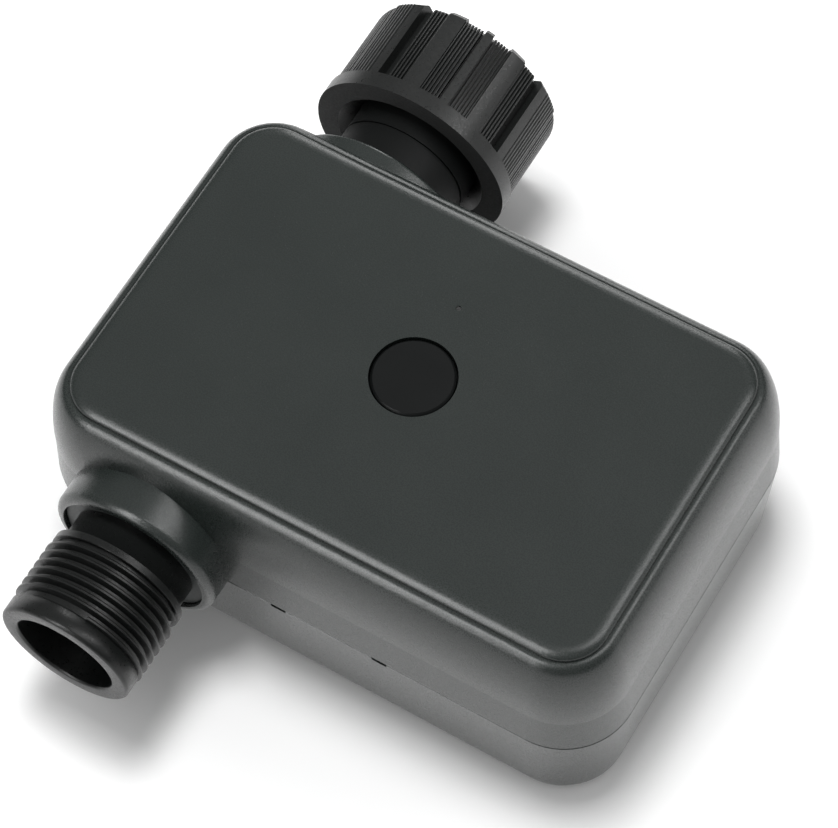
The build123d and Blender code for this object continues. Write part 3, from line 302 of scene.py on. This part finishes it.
def moulded(name, dark, light, roughness,
            grain=0.0003, strength=0.25, spread=0.05, specular=0.5):
    """A moulded plastic or rubber whose colour drifts slightly between two tones."""
    material, tree = node_material(name)
    link = tree.links.new
    out = add_node(tree, "ShaderNodeOutputMaterial", 500)
    surface = add_node(tree, "ShaderNodeBsdfPrincipled", 200)
    surface.inputs["Specular IOR Level"].default_value = specular
    where = add_node(tree, "ShaderNodeTexCoord", -700)
    effect = add_node(tree, "ShaderNodeGroup", -450, node_tree=moulded_grain)
    effect.inputs["Grain Size"].default_value = grain
    effect.inputs["Strength"].default_value = strength
    effect.inputs["Roughness"].default_value = roughness
    effect.inputs["Roughness Spread"].default_value = spread
    tone = add_node(tree, "ShaderNodeValToRGB", -150, 250)
    tone.color_ramp.elements[0].position = 0.35
    tone.color_ramp.elements[0].color = (*dark, 1)
    tone.color_ramp.elements[1].position = 0.65
    tone.color_ramp.elements[1].color = (*light, 1)
    link(where.outputs["Object"], effect.inputs["Vector"])
    link(effect.outputs["Tone"], tone.inputs["Fac"])
    link(tone.outputs["Color"], surface.inputs["Base Color"])
    link(effect.outputs["Roughness"], surface.inputs["Roughness"])
    link(effect.outputs["Normal"], surface.inputs["Normal"])
    link(surface.outputs[0], out.inputs["Surface"])
    return material


def dress(material, *names):
    """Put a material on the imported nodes."""
    for name in names:
        node = nodes[name]
        node.data.materials.clear()
        node.data.materials.append(material)


# Casing: front and back shells and the battery door, moulded in slate grey ABS with a satin
# spark finish. The shells meet at the bevelled seam and are screwed together from the back.
casing_plastic = moulded("casing_plastic", (0.0145, 0.0192, 0.0175), (0.0168, 0.0217, 0.0199),
                         0.28, grain=0.00026, strength=0.6, spread=0.05, specular=0.5)
dress(casing_plastic, "front_shell", "back_shell", "battery_door")

# Rubber parts: the cord in the seam, the collar rings and the inner seals. The outlet's ring is
# grey like the casing and lies almost flush with the collar's lip.
seal_rubber = moulded("seal_rubber", (0.007, 0.007, 0.007), (0.010, 0.010, 0.010), 0.65,
                      grain=0.0005, strength=0.15, specular=0.3)
dress(seal_rubber, "casing_seal", "inlet_grommet", "battery_door_seal", "stem_rings",
      "tailpiece_ring", "inlet_washer", "button_membrane")
grey_rubber = moulded("grey_rubber", (0.028, 0.033, 0.032), (0.034, 0.039, 0.038), 0.5,
                      grain=0.0004, strength=0.15, specular=0.4)
dress(grey_rubber, "outlet_grommet")

# Button: a round cap of matt black plastic behind the panel, with a flange below it. The lamp
# hole beside it is closed by a clear rod tinted dark grey, a painted shade for the dark inside the
# hole.
button_plastic = moulded("button_plastic", (0.0045, 0.0052, 0.0052), (0.0058, 0.0066, 0.0066),
                         0.42, grain=0.00022, strength=0.15, specular=0.15)
dress(button_plastic, "button_cap", "switch_plunger")
shade_tinted_rod, clear_tree = node_material("shade_tinted_rod")
clear_link = clear_tree.links.new
clear_out = add_node(clear_tree, "ShaderNodeOutputMaterial", 300)
clear_surface = add_node(clear_tree, "ShaderNodeBsdfPrincipled")
# Dark grey tint: painted shade, so that the lamp hole shows as a dark dot.
clear_surface.inputs["Base Color"].default_value = (0.04, 0.045, 0.045, 1)
clear_surface.inputs["Transmission Weight"].default_value = 0.9
clear_surface.inputs["IOR"].default_value = 1.49
clear_surface.inputs["Specular IOR Level"].default_value = 0.2
clear_haze = add_node(clear_tree, "ShaderNodeTexNoise", -500)
clear_haze.inputs["Scale"].default_value = 900
clear_where = add_node(clear_tree, "ShaderNodeTexCoord", -700)
clear_range = add_node(clear_tree, "ShaderNodeMapRange", -250)
clear_range.inputs["To Min"].default_value = 0.15
clear_range.inputs["To Max"].default_value = 0.4
clear_link(clear_where.outputs["Object"], clear_haze.inputs["Vector"])
clear_link(clear_haze.outputs["Fac"], clear_range.inputs["Value"])
clear_link(clear_range.outputs["Result"], clear_surface.inputs["Roughness"])
clear_link(clear_surface.outputs[0], clear_out.inputs["Surface"])
dress(shade_tinted_rod, "light_pipe")

# Valve body, inlet tailpiece and nut: black glass-filled nylon with a slightly uneven skin, each
# moulded in one shot. The tailpiece is duller, and so are the nut's faces square to the pipe.
valve_plastic = moulded("valve_plastic", (0.0055, 0.0062, 0.006), (0.0075, 0.0083, 0.008), 0.34,
                        grain=0.00045, strength=0.3, spread=0.08, specular=0.28)
tailpiece_plastic = moulded("tailpiece_plastic", (0.0045, 0.005, 0.005), (0.006, 0.0066, 0.0065),
                            0.5, grain=0.00045, strength=0.2, specular=0.15)
dress(tailpiece_plastic, "inlet_tailpiece")


def matt_ends(material, extra):
    """Roughen the faces square to the pipe: plain matt plates of the mould form those."""
    square_from, square_to = 0.85, 0.97
    tree = material.node_tree
    link = tree.links.new
    surface = next(n for n in tree.nodes if n.bl_idname == "ShaderNodeBsdfPrincipled")
    plain = surface.inputs["Roughness"].links[0].from_socket
    facing = add_node(tree, "ShaderNodeTexCoord", -900, -500)
    split = add_node(tree, "ShaderNodeSeparateXYZ", -700, -500)
    square = add_node(tree, "ShaderNodeMath", -500, -500, operation="ABSOLUTE")
    added = add_node(tree, "ShaderNodeMapRange", -300, -500)
    added.inputs["From Min"].default_value = square_from
    added.inputs["From Max"].default_value = square_to
    added.inputs["To Max"].default_value = extra
    total = add_node(tree, "ShaderNodeMath", 0, -500, operation="ADD")
    link(facing.outputs["Normal"], split.inputs[0])
    link(split.outputs["Y"], square.inputs[0])
    link(square.outputs[0], added.inputs["Value"])
    link(plain, total.inputs[0])
    link(added.outputs["Result"], total.inputs[1])
    link(total.outputs[0], surface.inputs["Roughness"])


nut_plastic = moulded("nut_plastic", (0.0068, 0.0077, 0.0074), (0.009, 0.01, 0.0096), 0.34,
                      grain=0.00045, strength=0.22, spread=0.08, specular=0.45)
matt_ends(nut_plastic, 0.5)
dress(nut_plastic, "swivel_nut")


def finish_mesh(piece, material, sharp_degrees=32):
    """Outward faces, smooth shading between sharp edges, and one material."""
    work = bmesh.new()
    work.from_mesh(piece.data)
    bmesh.ops.recalc_face_normals(work, faces=work.faces)
    work.to_mesh(piece.data)
    work.free()
    piece.data.polygons.foreach_set("use_smooth", [True] * len(piece.data.polygons))
    piece.data.set_sharp_from_angle(angle=math.radians(sharp_degrees))
    piece.data.materials.clear()
    piece.data.materials.append(material)


# Outlet: the pipe stub carries a male three-quarter inch thread, moulded on, behind a plain lead
# ring with a rounded lip. The stub continues the valve body, which is copied up to the thread.
flow_x, flow_z = -31.5 * MM, 26.1 * MM
thread_root, thread_crest, thread_pitch = 12.12 * MM, 13.22 * MM, 1.814 * MM
thread_start, thread_last, mouth = -52.75 * MM, -64.9 * MM, -68.75 * MM
copy_end, neck_end = -44.6 * MM, -51.25 * MM
neck_radius, ring_radius = 11.75 * MM, 13.0 * MM
outlet_bore, lead_radius, lip_round, bore_round = 9.6 * MM, 12.9 * MM, 0.7 * MM, 0.45 * MM
ring_edge, thread_runout = 0.15 * MM, 0.5 * MM
thread_turns, thread_foot, thread_flat = 6.2, 1.45 * MM, 0.34 * MM
thread_sunk, thread_lead = 0.1 * MM, 0.85 * MM
stub_facets = 144

body_mesh = bmesh.new()
body_mesh.from_mesh(nodes["valve_body"].data)
bmesh.ops.remove_doubles(body_mesh, verts=body_mesh.verts, dist=0.001 * MM)
cut = bmesh.ops.bisect_plane(
    body_mesh, geom=body_mesh.verts[:] + body_mesh.edges[:] + body_mesh.faces[:],
    plane_co=(0, copy_end, 0), plane_no=(0, 1, 0), clear_inner=True)
rim = [part for part in cut["geom_cut"] if isinstance(part, bmesh.types.BMEdge)]
bmesh.ops.bridge_loops(body_mesh, edges=rim)


def lathe(mesh, outline, steps):
    """Turn a closed outline of (place along Y, radius) points round the flow axis."""
    rings = []
    for step in range(steps):
        angle = step * math.tau / steps
        rings.append([mesh.verts.new((flow_x + r * math.cos(angle), y,
                                      flow_z + r * math.sin(angle))) for y, r in outline])
    for step in range(steps):
        here, there = rings[step], rings[(step + 1) % steps]
        for k in range(len(outline)):
            n = (k + 1) % len(outline)
            mesh.faces.new((here[k], here[n], there[n], there[k]))


lip = [(mouth + lip_round * (1 - math.cos(t)), lead_radius - lip_round * (1 - math.sin(t)))
       for t in (math.radians(d) for d in range(0, 91, 15))]
inner_lip = [(mouth + bore_round * (1 - math.sin(t)), outlet_bore + bore_round * (1 - math.cos(t)))
             for t in (math.radians(d) for d in range(0, 91, 30))]
stub_outline = ([(copy_end, outlet_bore)] + inner_lip + lip
                + [(thread_last - thread_runout, lead_radius), (thread_last, thread_root),
                   (thread_start, thread_root), (thread_start, ring_radius - ring_edge),
                   (thread_start + ring_edge, ring_radius), (neck_end - ring_edge, ring_radius),
                   (neck_end, ring_radius - ring_edge), (neck_end, neck_radius),
                   (copy_end, neck_radius)])
lathe(body_mesh, stub_outline, stub_facets)


def thread_tree():
    """A ridge of trapezoid section that follows a helix: the crest of a moulded pipe thread."""
    tree = bpy.data.node_groups.new("pipe_thread", "GeometryNodeTree")
    face = tree.interface
    sockets = {name: face.new_socket(name, in_out="INPUT", socket_type="NodeSocketFloat")
               for name in ("Turns", "Pitch", "Root", "Height", "Foot", "Crest")}
    finish = face.new_socket("Material", in_out="INPUT", socket_type="NodeSocketMaterial")
    face.new_socket("Geometry", in_out="OUTPUT", socket_type="NodeSocketGeometry")
    link = tree.links.new
    enter = add_node(tree, "NodeGroupInput", -900)
    leave = add_node(tree, "NodeGroupOutput", 900)
    rise = add_node(tree, "ShaderNodeMath", -700, 200, operation="MULTIPLY")
    helix = add_node(tree, "GeometryNodeCurveSpiral", -500, 200)
    helix.inputs["Resolution"].default_value = 96
    helix.inputs["Reverse"].default_value = True
    upright = add_node(tree, "GeometryNodeSetCurveNormal", -300, 200, mode="Z_UP")
    section = add_node(tree, "GeometryNodeCurvePrimitiveQuadrilateral", -500, -200,
                       mode="TRAPEZOID")
    section.inputs["Offset"].default_value = 0
    lean = add_node(tree, "GeometryNodeTransform", -300, -200)
    lean.inputs["Rotation"].default_value = (0, 0, math.radians(-90))
    sweep = add_node(tree, "GeometryNodeCurveToMesh", 0)
    sweep.inputs["Fill Caps"].default_value = True
    flow = add_node(tree, "GeometryNodeTransform", 250)
    flow.inputs["Rotation"].default_value = (math.radians(90), 0, 0)
    real = add_node(tree, "GeometryNodeRealizeInstances", 450)
    paint = add_node(tree, "GeometryNodeSetMaterial", 650)
    link(enter.outputs["Turns"], rise.inputs[0])
    link(enter.outputs["Pitch"], rise.inputs[1])
    link(enter.outputs["Turns"], helix.inputs["Rotations"])
    link(enter.outputs["Root"], helix.inputs["Start Radius"])
    link(enter.outputs["Root"], helix.inputs["End Radius"])
    link(rise.outputs[0], helix.inputs["Height"])
    link(helix.outputs[0], upright.inputs["Curve"])
    link(enter.outputs["Height"], section.inputs["Height"])
    link(enter.outputs["Foot"], section.inputs["Bottom Width"])
    link(enter.outputs["Crest"], section.inputs["Top Width"])
    link(section.outputs[0], lean.inputs["Geometry"])
    link(upright.outputs[0], sweep.inputs["Curve"])
    link(lean.outputs[0], sweep.inputs["Profile Curve"])
    link(sweep.outputs[0], flow.inputs["Geometry"])
    link(flow.outputs[0], real.inputs["Geometry"])
    link(real.outputs[0], paint.inputs["Geometry"])
    link(enter.outputs["Material"], paint.inputs["Material"])
    link(paint.outputs[0], leave.inputs["Geometry"])
    return tree, sockets, finish


def grown(name, tree, settings):
    """Run a Geometry Nodes tree with its inputs set, and keep the plain mesh that it makes."""
    holder = bpy.data.objects.new(name, bpy.data.meshes.new(name))
    bpy.context.collection.objects.link(holder)
    modifier = holder.modifiers.new(name, "NODES")
    modifier.node_group = tree
    for socket, value in settings.items():
        modifier[socket] = value
    bpy.context.view_layer.update()
    mesh = bpy.data.meshes.new_from_object(
        holder.evaluated_get(bpy.context.evaluated_depsgraph_get()))
    bpy.data.objects.remove(holder)
    return mesh


ridge_height = thread_crest - thread_root
thread_group, thread_sockets, thread_finish = thread_tree()
thread_values = {"Turns": thread_turns, "Pitch": thread_pitch,
                 "Root": thread_root + ridge_height / 2 - thread_sunk / 2,
                 "Height": ridge_height + thread_sunk, "Foot": thread_foot, "Crest": thread_flat}
thread_settings = {thread_sockets[name].identifier: v for name, v in thread_values.items()}
thread_settings[thread_finish.identifier] = valve_plastic
ridge = grown("thread_ridge", thread_group, thread_settings)
ridge.transform(Matrix.Translation((flow_x, thread_start - thread_lead, flow_z)))
body_mesh.from_mesh(ridge)
stub_mesh = bpy.data.meshes.new("valve_body_threaded")
body_mesh.to_mesh(stub_mesh)
body_mesh.free()
threaded_body = bpy.data.objects.new("valve_body_threaded", stub_mesh)
bpy.context.collection.objects.link(threaded_body)
finish_mesh(threaded_body, valve_plastic)
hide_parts("valve_body")
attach(threaded_body, "casing")

# Swivel nut: its moulded grip has smooth pads, and close fine ridges between them for wet
# hands. The ridges repeat on both halves and are mirrored about each narrow middle rib.
nut_turn = math.radians(72.3)
nut_ridge_start, nut_ridge_end = 50.7 * MM, 67.9 * MM
ridge_fade_start, ridge_fade_middle, ridge_middle_height = 0.7 * MM, 0.2 * MM, 0.6
ridge_zones = (   # first and last angle in degrees, count, radius, height and width in mm
    (4.6, 14.4, 6, 18.88, 0.50, 0.46),
    (25.8, 34.4, 5, 18.88, 0.50, 0.46),
    (49.5, 62.0, 6, 19.52, 0.16, 0.5),
    (66.0, 88.5, 8, 19.16, 0.22, 0.7),
)


def ridge_tree():
    """Bars set round the flow axis at equal angles."""
    tree = bpy.data.node_groups.new("grip_ridges", "GeometryNodeTree")
    face = tree.interface
    count = face.new_socket("Count", in_out="INPUT", socket_type="NodeSocketInt")
    sockets = {"Count": count}
    for name in ("First Angle", "Step", "Radius"):
        sockets[name] = face.new_socket(name, in_out="INPUT", socket_type="NodeSocketFloat")
    sockets["Bar"] = face.new_socket("Bar", in_out="INPUT", socket_type="NodeSocketObject")
    sockets["Material"] = face.new_socket("Material", in_out="INPUT",
                                          socket_type="NodeSocketMaterial")
    face.new_socket("Geometry", in_out="OUTPUT", socket_type="NodeSocketGeometry")
    link = tree.links.new
    enter = add_node(tree, "NodeGroupInput", -1100)
    leave = add_node(tree, "NodeGroupOutput", 900)
    points = add_node(tree, "GeometryNodePoints", -500, 200)
    index = add_node(tree, "GeometryNodeInputIndex", -1100, -200)
    far = add_node(tree, "ShaderNodeMath", -900, -150, operation="MULTIPLY")
    angle = add_node(tree, "ShaderNodeMath", -700, -150, operation="ADD")
    side = add_node(tree, "ShaderNodeMath", -500, -100, operation="COSINE")
    height = add_node(tree, "ShaderNodeMath", -500, -250, operation="SINE")
    back = add_node(tree, "ShaderNodeMath", -500, -400, operation="MULTIPLY")
    back.inputs[1].default_value = -1
    out_x = add_node(tree, "ShaderNodeMath", -300, -100, operation="MULTIPLY")
    out_z = add_node(tree, "ShaderNodeMath", -300, -250, operation="MULTIPLY")
    spot = add_node(tree, "ShaderNodeCombineXYZ", -100, -100)
    turn = add_node(tree, "ShaderNodeCombineXYZ", -100, -400)
    bar = add_node(tree, "GeometryNodeObjectInfo", -100, -600)
    copies = add_node(tree, "GeometryNodeInstanceOnPoints", 250)
    real = add_node(tree, "GeometryNodeRealizeInstances", 450)
    paint = add_node(tree, "GeometryNodeSetMaterial", 650)
    link(enter.outputs["Count"], points.inputs["Count"])
    link(index.outputs[0], far.inputs[0])
    link(enter.outputs["Step"], far.inputs[1])
    link(far.outputs[0], angle.inputs[0])
    link(enter.outputs["First Angle"], angle.inputs[1])
    for node in (side, height, back):
        link(angle.outputs[0], node.inputs[0])
    for node, result in ((side, out_x), (height, out_z)):
        link(node.outputs[0], result.inputs[0])
        link(enter.outputs["Radius"], result.inputs[1])
    link(out_x.outputs[0], spot.inputs["X"])
    link(out_z.outputs[0], spot.inputs["Z"])
    link(back.outputs[0], turn.inputs["Y"])
    link(spot.outputs[0], points.inputs["Position"])
    link(enter.outputs["Bar"], bar.inputs["Object"])
    link(points.outputs[0], copies.inputs["Points"])
    link(bar.outputs["Geometry"], copies.inputs["Instance"])
    link(turn.outputs[0], copies.inputs["Rotation"])
    link(copies.outputs[0], real.inputs["Geometry"])
    link(real.outputs[0], paint.inputs["Geometry"])
    link(enter.outputs["Material"], paint.inputs["Material"])
    link(paint.outputs[0], leave.inputs["Geometry"])
    return tree, sockets


def ridge_bar(height, width):
    """One moulded ridge: a low rounded bar along Y that runs out at its free end."""
    outline = ((-0.4, -0.5), (0.55, -0.5), (0.9, -0.3), (1.0, 0), (0.9, 0.3), (0.55, 0.5),
               (-0.4, 0.5))   # shares of its height and width; below 0 it is sunk in the nut
    mesh = bmesh.new()
    rows = []
    for y, rise in ((nut_ridge_start, 1.0), (nut_ridge_end - ridge_fade_start, 1.0),
                    (nut_ridge_end - ridge_fade_middle, ridge_middle_height),
                    (nut_ridge_end, 0.0)):
        rows.append([mesh.verts.new((x * height * (rise if x > 0 else 1), y, z * width))
                     for x, z in outline])
    for a, b in zip(rows, rows[1:]):
        for k in range(len(outline)):
            n = (k + 1) % len(outline)
            mesh.faces.new((a[k], a[n], b[n], b[k]))
    mesh.faces.new(rows[0])
    mesh.faces.new(list(reversed(rows[-1])))
    bmesh.ops.recalc_face_normals(mesh, faces=mesh.faces)
    data = bpy.data.meshes.new("ridge_bar")
    mesh.to_mesh(data)
    mesh.free()
    bar = bpy.data.objects.new("ridge_bar", data)
    bpy.context.collection.objects.link(bar)
    return bar


ridge_group, ridge_sockets = ridge_tree()
grip = bmesh.new()
for first, last, count, radius, height, width in ridge_zones:
    bar = ridge_bar(height * MM, width * MM)
    step = (last - first) / (count - 1)
    for half in (0, 180):
        for side in (-1, 1):
            values = {"Count": count, "First Angle": nut_turn + math.radians(half + side * first),
                      "Step": math.radians(side * step), "Radius": radius * MM, "Bar": bar,
                      "Material": nut_plastic}
            patch = grown("ridges", ridge_group,
                          {ridge_sockets[name].identifier: v for name, v in values.items()})
            grip.from_mesh(patch)
    bpy.data.objects.remove(bar)
bmesh.ops.translate(grip, verts=grip.verts, vec=(flow_x, 0, flow_z))
grip_mesh = bpy.data.meshes.new("nut_ridges")
grip.to_mesh(grip_mesh)
grip.free()
nut_ridges = bpy.data.objects.new("nut_ridges", grip_mesh)
bpy.context.collection.objects.link(nut_ridges)
finish_mesh(nut_ridges, nut_plastic, sharp_degrees=40)
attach(nut_ridges, "swivel_nut")


# Metal parts: plated steel screws, axles and contacts, turned brass stem and pinion, the polished
# ball and the motor's can. Each is a plain bright metal with fine drawn or turned marks.
def metal(name, color, roughness, marks=0.06, stretch=(1, 1, 1)):
    """A bright metal whose fine marks are drawn out along the axes with a small stretch."""
    mark_scale, dark_share = 1500, 0.85
    material, tree = node_material(name)
    link = tree.links.new
    out = add_node(tree, "ShaderNodeOutputMaterial", 500)
    surface = add_node(tree, "ShaderNodeBsdfPrincipled", 200)
    surface.inputs["Metallic"].default_value = 1.0
    where = add_node(tree, "ShaderNodeTexCoord", -900)
    drawn = add_node(tree, "ShaderNodeMapping", -700)
    drawn.inputs["Scale"].default_value = stretch
    noise = add_node(tree, "ShaderNodeTexNoise", -450)
    noise.inputs["Scale"].default_value = mark_scale
    noise.inputs["Detail"].default_value = 3
    shade = add_node(tree, "ShaderNodeValToRGB", -200, 200)
    shade.color_ramp.elements[0].color = (*[c * dark_share for c in color], 1)
    shade.color_ramp.elements[1].color = (*color, 1)
    rough = add_node(tree, "ShaderNodeMapRange", -200, -150)
    rough.inputs["To Min"].default_value = roughness - marks
    rough.inputs["To Max"].default_value = roughness + marks
    link(where.outputs["Object"], drawn.inputs["Vector"])
    link(drawn.outputs[0], noise.inputs["Vector"])
    link(noise.outputs["Fac"], shade.inputs["Fac"])
    link(noise.outputs["Fac"], rough.inputs["Value"])
    link(shade.outputs["Color"], surface.inputs["Base Color"])
    link(rough.outputs["Result"], surface.inputs["Roughness"])
    link(surface.outputs[0], out.inputs["Surface"])
    return material


steel = metal("plated_steel", (0.58, 0.58, 0.57), 0.3)
dress(steel, "case_screws", "battery_door_screws", "gear_box_screws", "board_screws",
      "gear_axles", "motor_shaft")
dress(metal("nickel_contact", (0.68, 0.66, 0.6), 0.25, stretch=(1, 1, 8)),
      "battery_springs", "battery_plates", "radio_module")
dress(metal("turned_brass", (0.75, 0.53, 0.22), 0.28, stretch=(12, 1, 1)),
      "valve_stem", "motor_pinion")
dress(metal("polished_ball", (0.78, 0.78, 0.78), 0.12, 0.04), "valve_ball")
dress(metal("motor_can", (0.55, 0.55, 0.56), 0.34, stretch=(0.2, 1, 1)), "gear_motor")

# Inner plastic parts: natural acetal gears, white seats, plugs and lamp, a dark gear box, the
# strainer, and the black bodies of switches and capacitors.
dress(moulded("natural_acetal", (0.62, 0.6, 0.52), (0.68, 0.66, 0.58), 0.35, strength=0.1),
      "output_gear", "second_gear", "first_gear")
dress(moulded("white_plastic", (0.66, 0.65, 0.61), (0.72, 0.71, 0.68), 0.4, strength=0.1),
      "ball_seats", "board_plugs", "status_led")
dress(moulded("strainer_plastic", (0.5, 0.51, 0.5), (0.58, 0.58, 0.56), 0.45, strength=0.1),
      "inlet_strainer")
dress(moulded("dark_frame", (0.02, 0.02, 0.021), (0.028, 0.028, 0.029), 0.45),
      "gear_box_base", "gear_box_cover", "limit_switches", "tact_switch", "board_capacitors")

# Circuit board: green solder mask over rows of copper tracks, which show as slightly paler lines.
board_mask, board_tree = node_material("solder_mask")
board_out = add_node(board_tree, "ShaderNodeOutputMaterial", 500)
board_surface = add_node(board_tree, "ShaderNodeBsdfPrincipled", 200)
board_surface.inputs["Roughness"].default_value = 0.3
board_where = add_node(board_tree, "ShaderNodeTexCoord", -700)
board_tracks = add_node(board_tree, "ShaderNodeTexBrick", -350)
board_tracks.inputs["Scale"].default_value = 220
board_tracks.inputs["Mortar Size"].default_value = 0.012
board_tracks.inputs["Color1"].default_value = (0.012, 0.11, 0.045, 1)
board_tracks.inputs["Color2"].default_value = (0.014, 0.125, 0.05, 1)
board_tracks.inputs["Mortar"].default_value = (0.03, 0.2, 0.08, 1)
board_link = board_tree.links.new
board_link(board_where.outputs["Object"], board_tracks.inputs["Vector"])
board_link(board_tracks.outputs["Color"], board_surface.inputs["Base Color"])
board_link(board_surface.outputs[0], board_out.inputs["Surface"])
dress(board_mask, "circuit_board")

# Battery cells: plain dark shrink wrap round the can, bare metal on both ends. The ends are told
# from the wrap by the way that they face.
cell_wrap, cell_tree = node_material("cell_wrap")
cell_out = add_node(cell_tree, "ShaderNodeOutputMaterial", 700)
cell_surface = add_node(cell_tree, "ShaderNodeBsdfPrincipled", 400)
cell_where = add_node(cell_tree, "ShaderNodeTexCoord", -700)
cell_split = add_node(cell_tree, "ShaderNodeSeparateXYZ", -500)
cell_facing = add_node(cell_tree, "ShaderNodeMath", -300, operation="ABSOLUTE")
cell_end = add_node(cell_tree, "ShaderNodeMath", -100, operation="GREATER_THAN")
cell_end.inputs[1].default_value = 0.7
cell_speckle = add_node(cell_tree, "ShaderNodeTexNoise", -300, 300)
cell_speckle.inputs["Scale"].default_value = 400
cell_body = add_node(cell_tree, "ShaderNodeValToRGB", -100, 300)
cell_body.color_ramp.elements[0].color = (0.012, 0.014, 0.02, 1)
cell_body.color_ramp.elements[1].color = (0.018, 0.02, 0.028, 1)
cell_color = add_node(cell_tree, "ShaderNodeMix", 150, 200, data_type="RGBA")
mix_share, mix_first, mix_second, mix_result = 0, 6, 7, 2   # a Mix node's colour sockets
cell_color.inputs[mix_second].default_value = (0.6, 0.6, 0.6, 1)
cell_surface.inputs["Roughness"].default_value = 0.28
cell_link = cell_tree.links.new
cell_link(cell_where.outputs["Normal"], cell_split.inputs[0])
cell_link(cell_split.outputs["X"], cell_facing.inputs[0])
cell_link(cell_facing.outputs[0], cell_end.inputs[0])
cell_link(cell_where.outputs["Object"], cell_speckle.inputs["Vector"])
cell_link(cell_speckle.outputs["Fac"], cell_body.inputs["Fac"])
cell_link(cell_end.outputs[0], cell_color.inputs[mix_share])
cell_link(cell_body.outputs["Color"], cell_color.inputs[mix_first])
cell_link(cell_color.outputs[mix_result], cell_surface.inputs["Base Color"])
cell_link(cell_end.outputs[0], cell_surface.inputs["Metallic"])
cell_link(cell_surface.outputs[0], cell_out.inputs["Surface"])
dress(cell_wrap, "battery_cells")
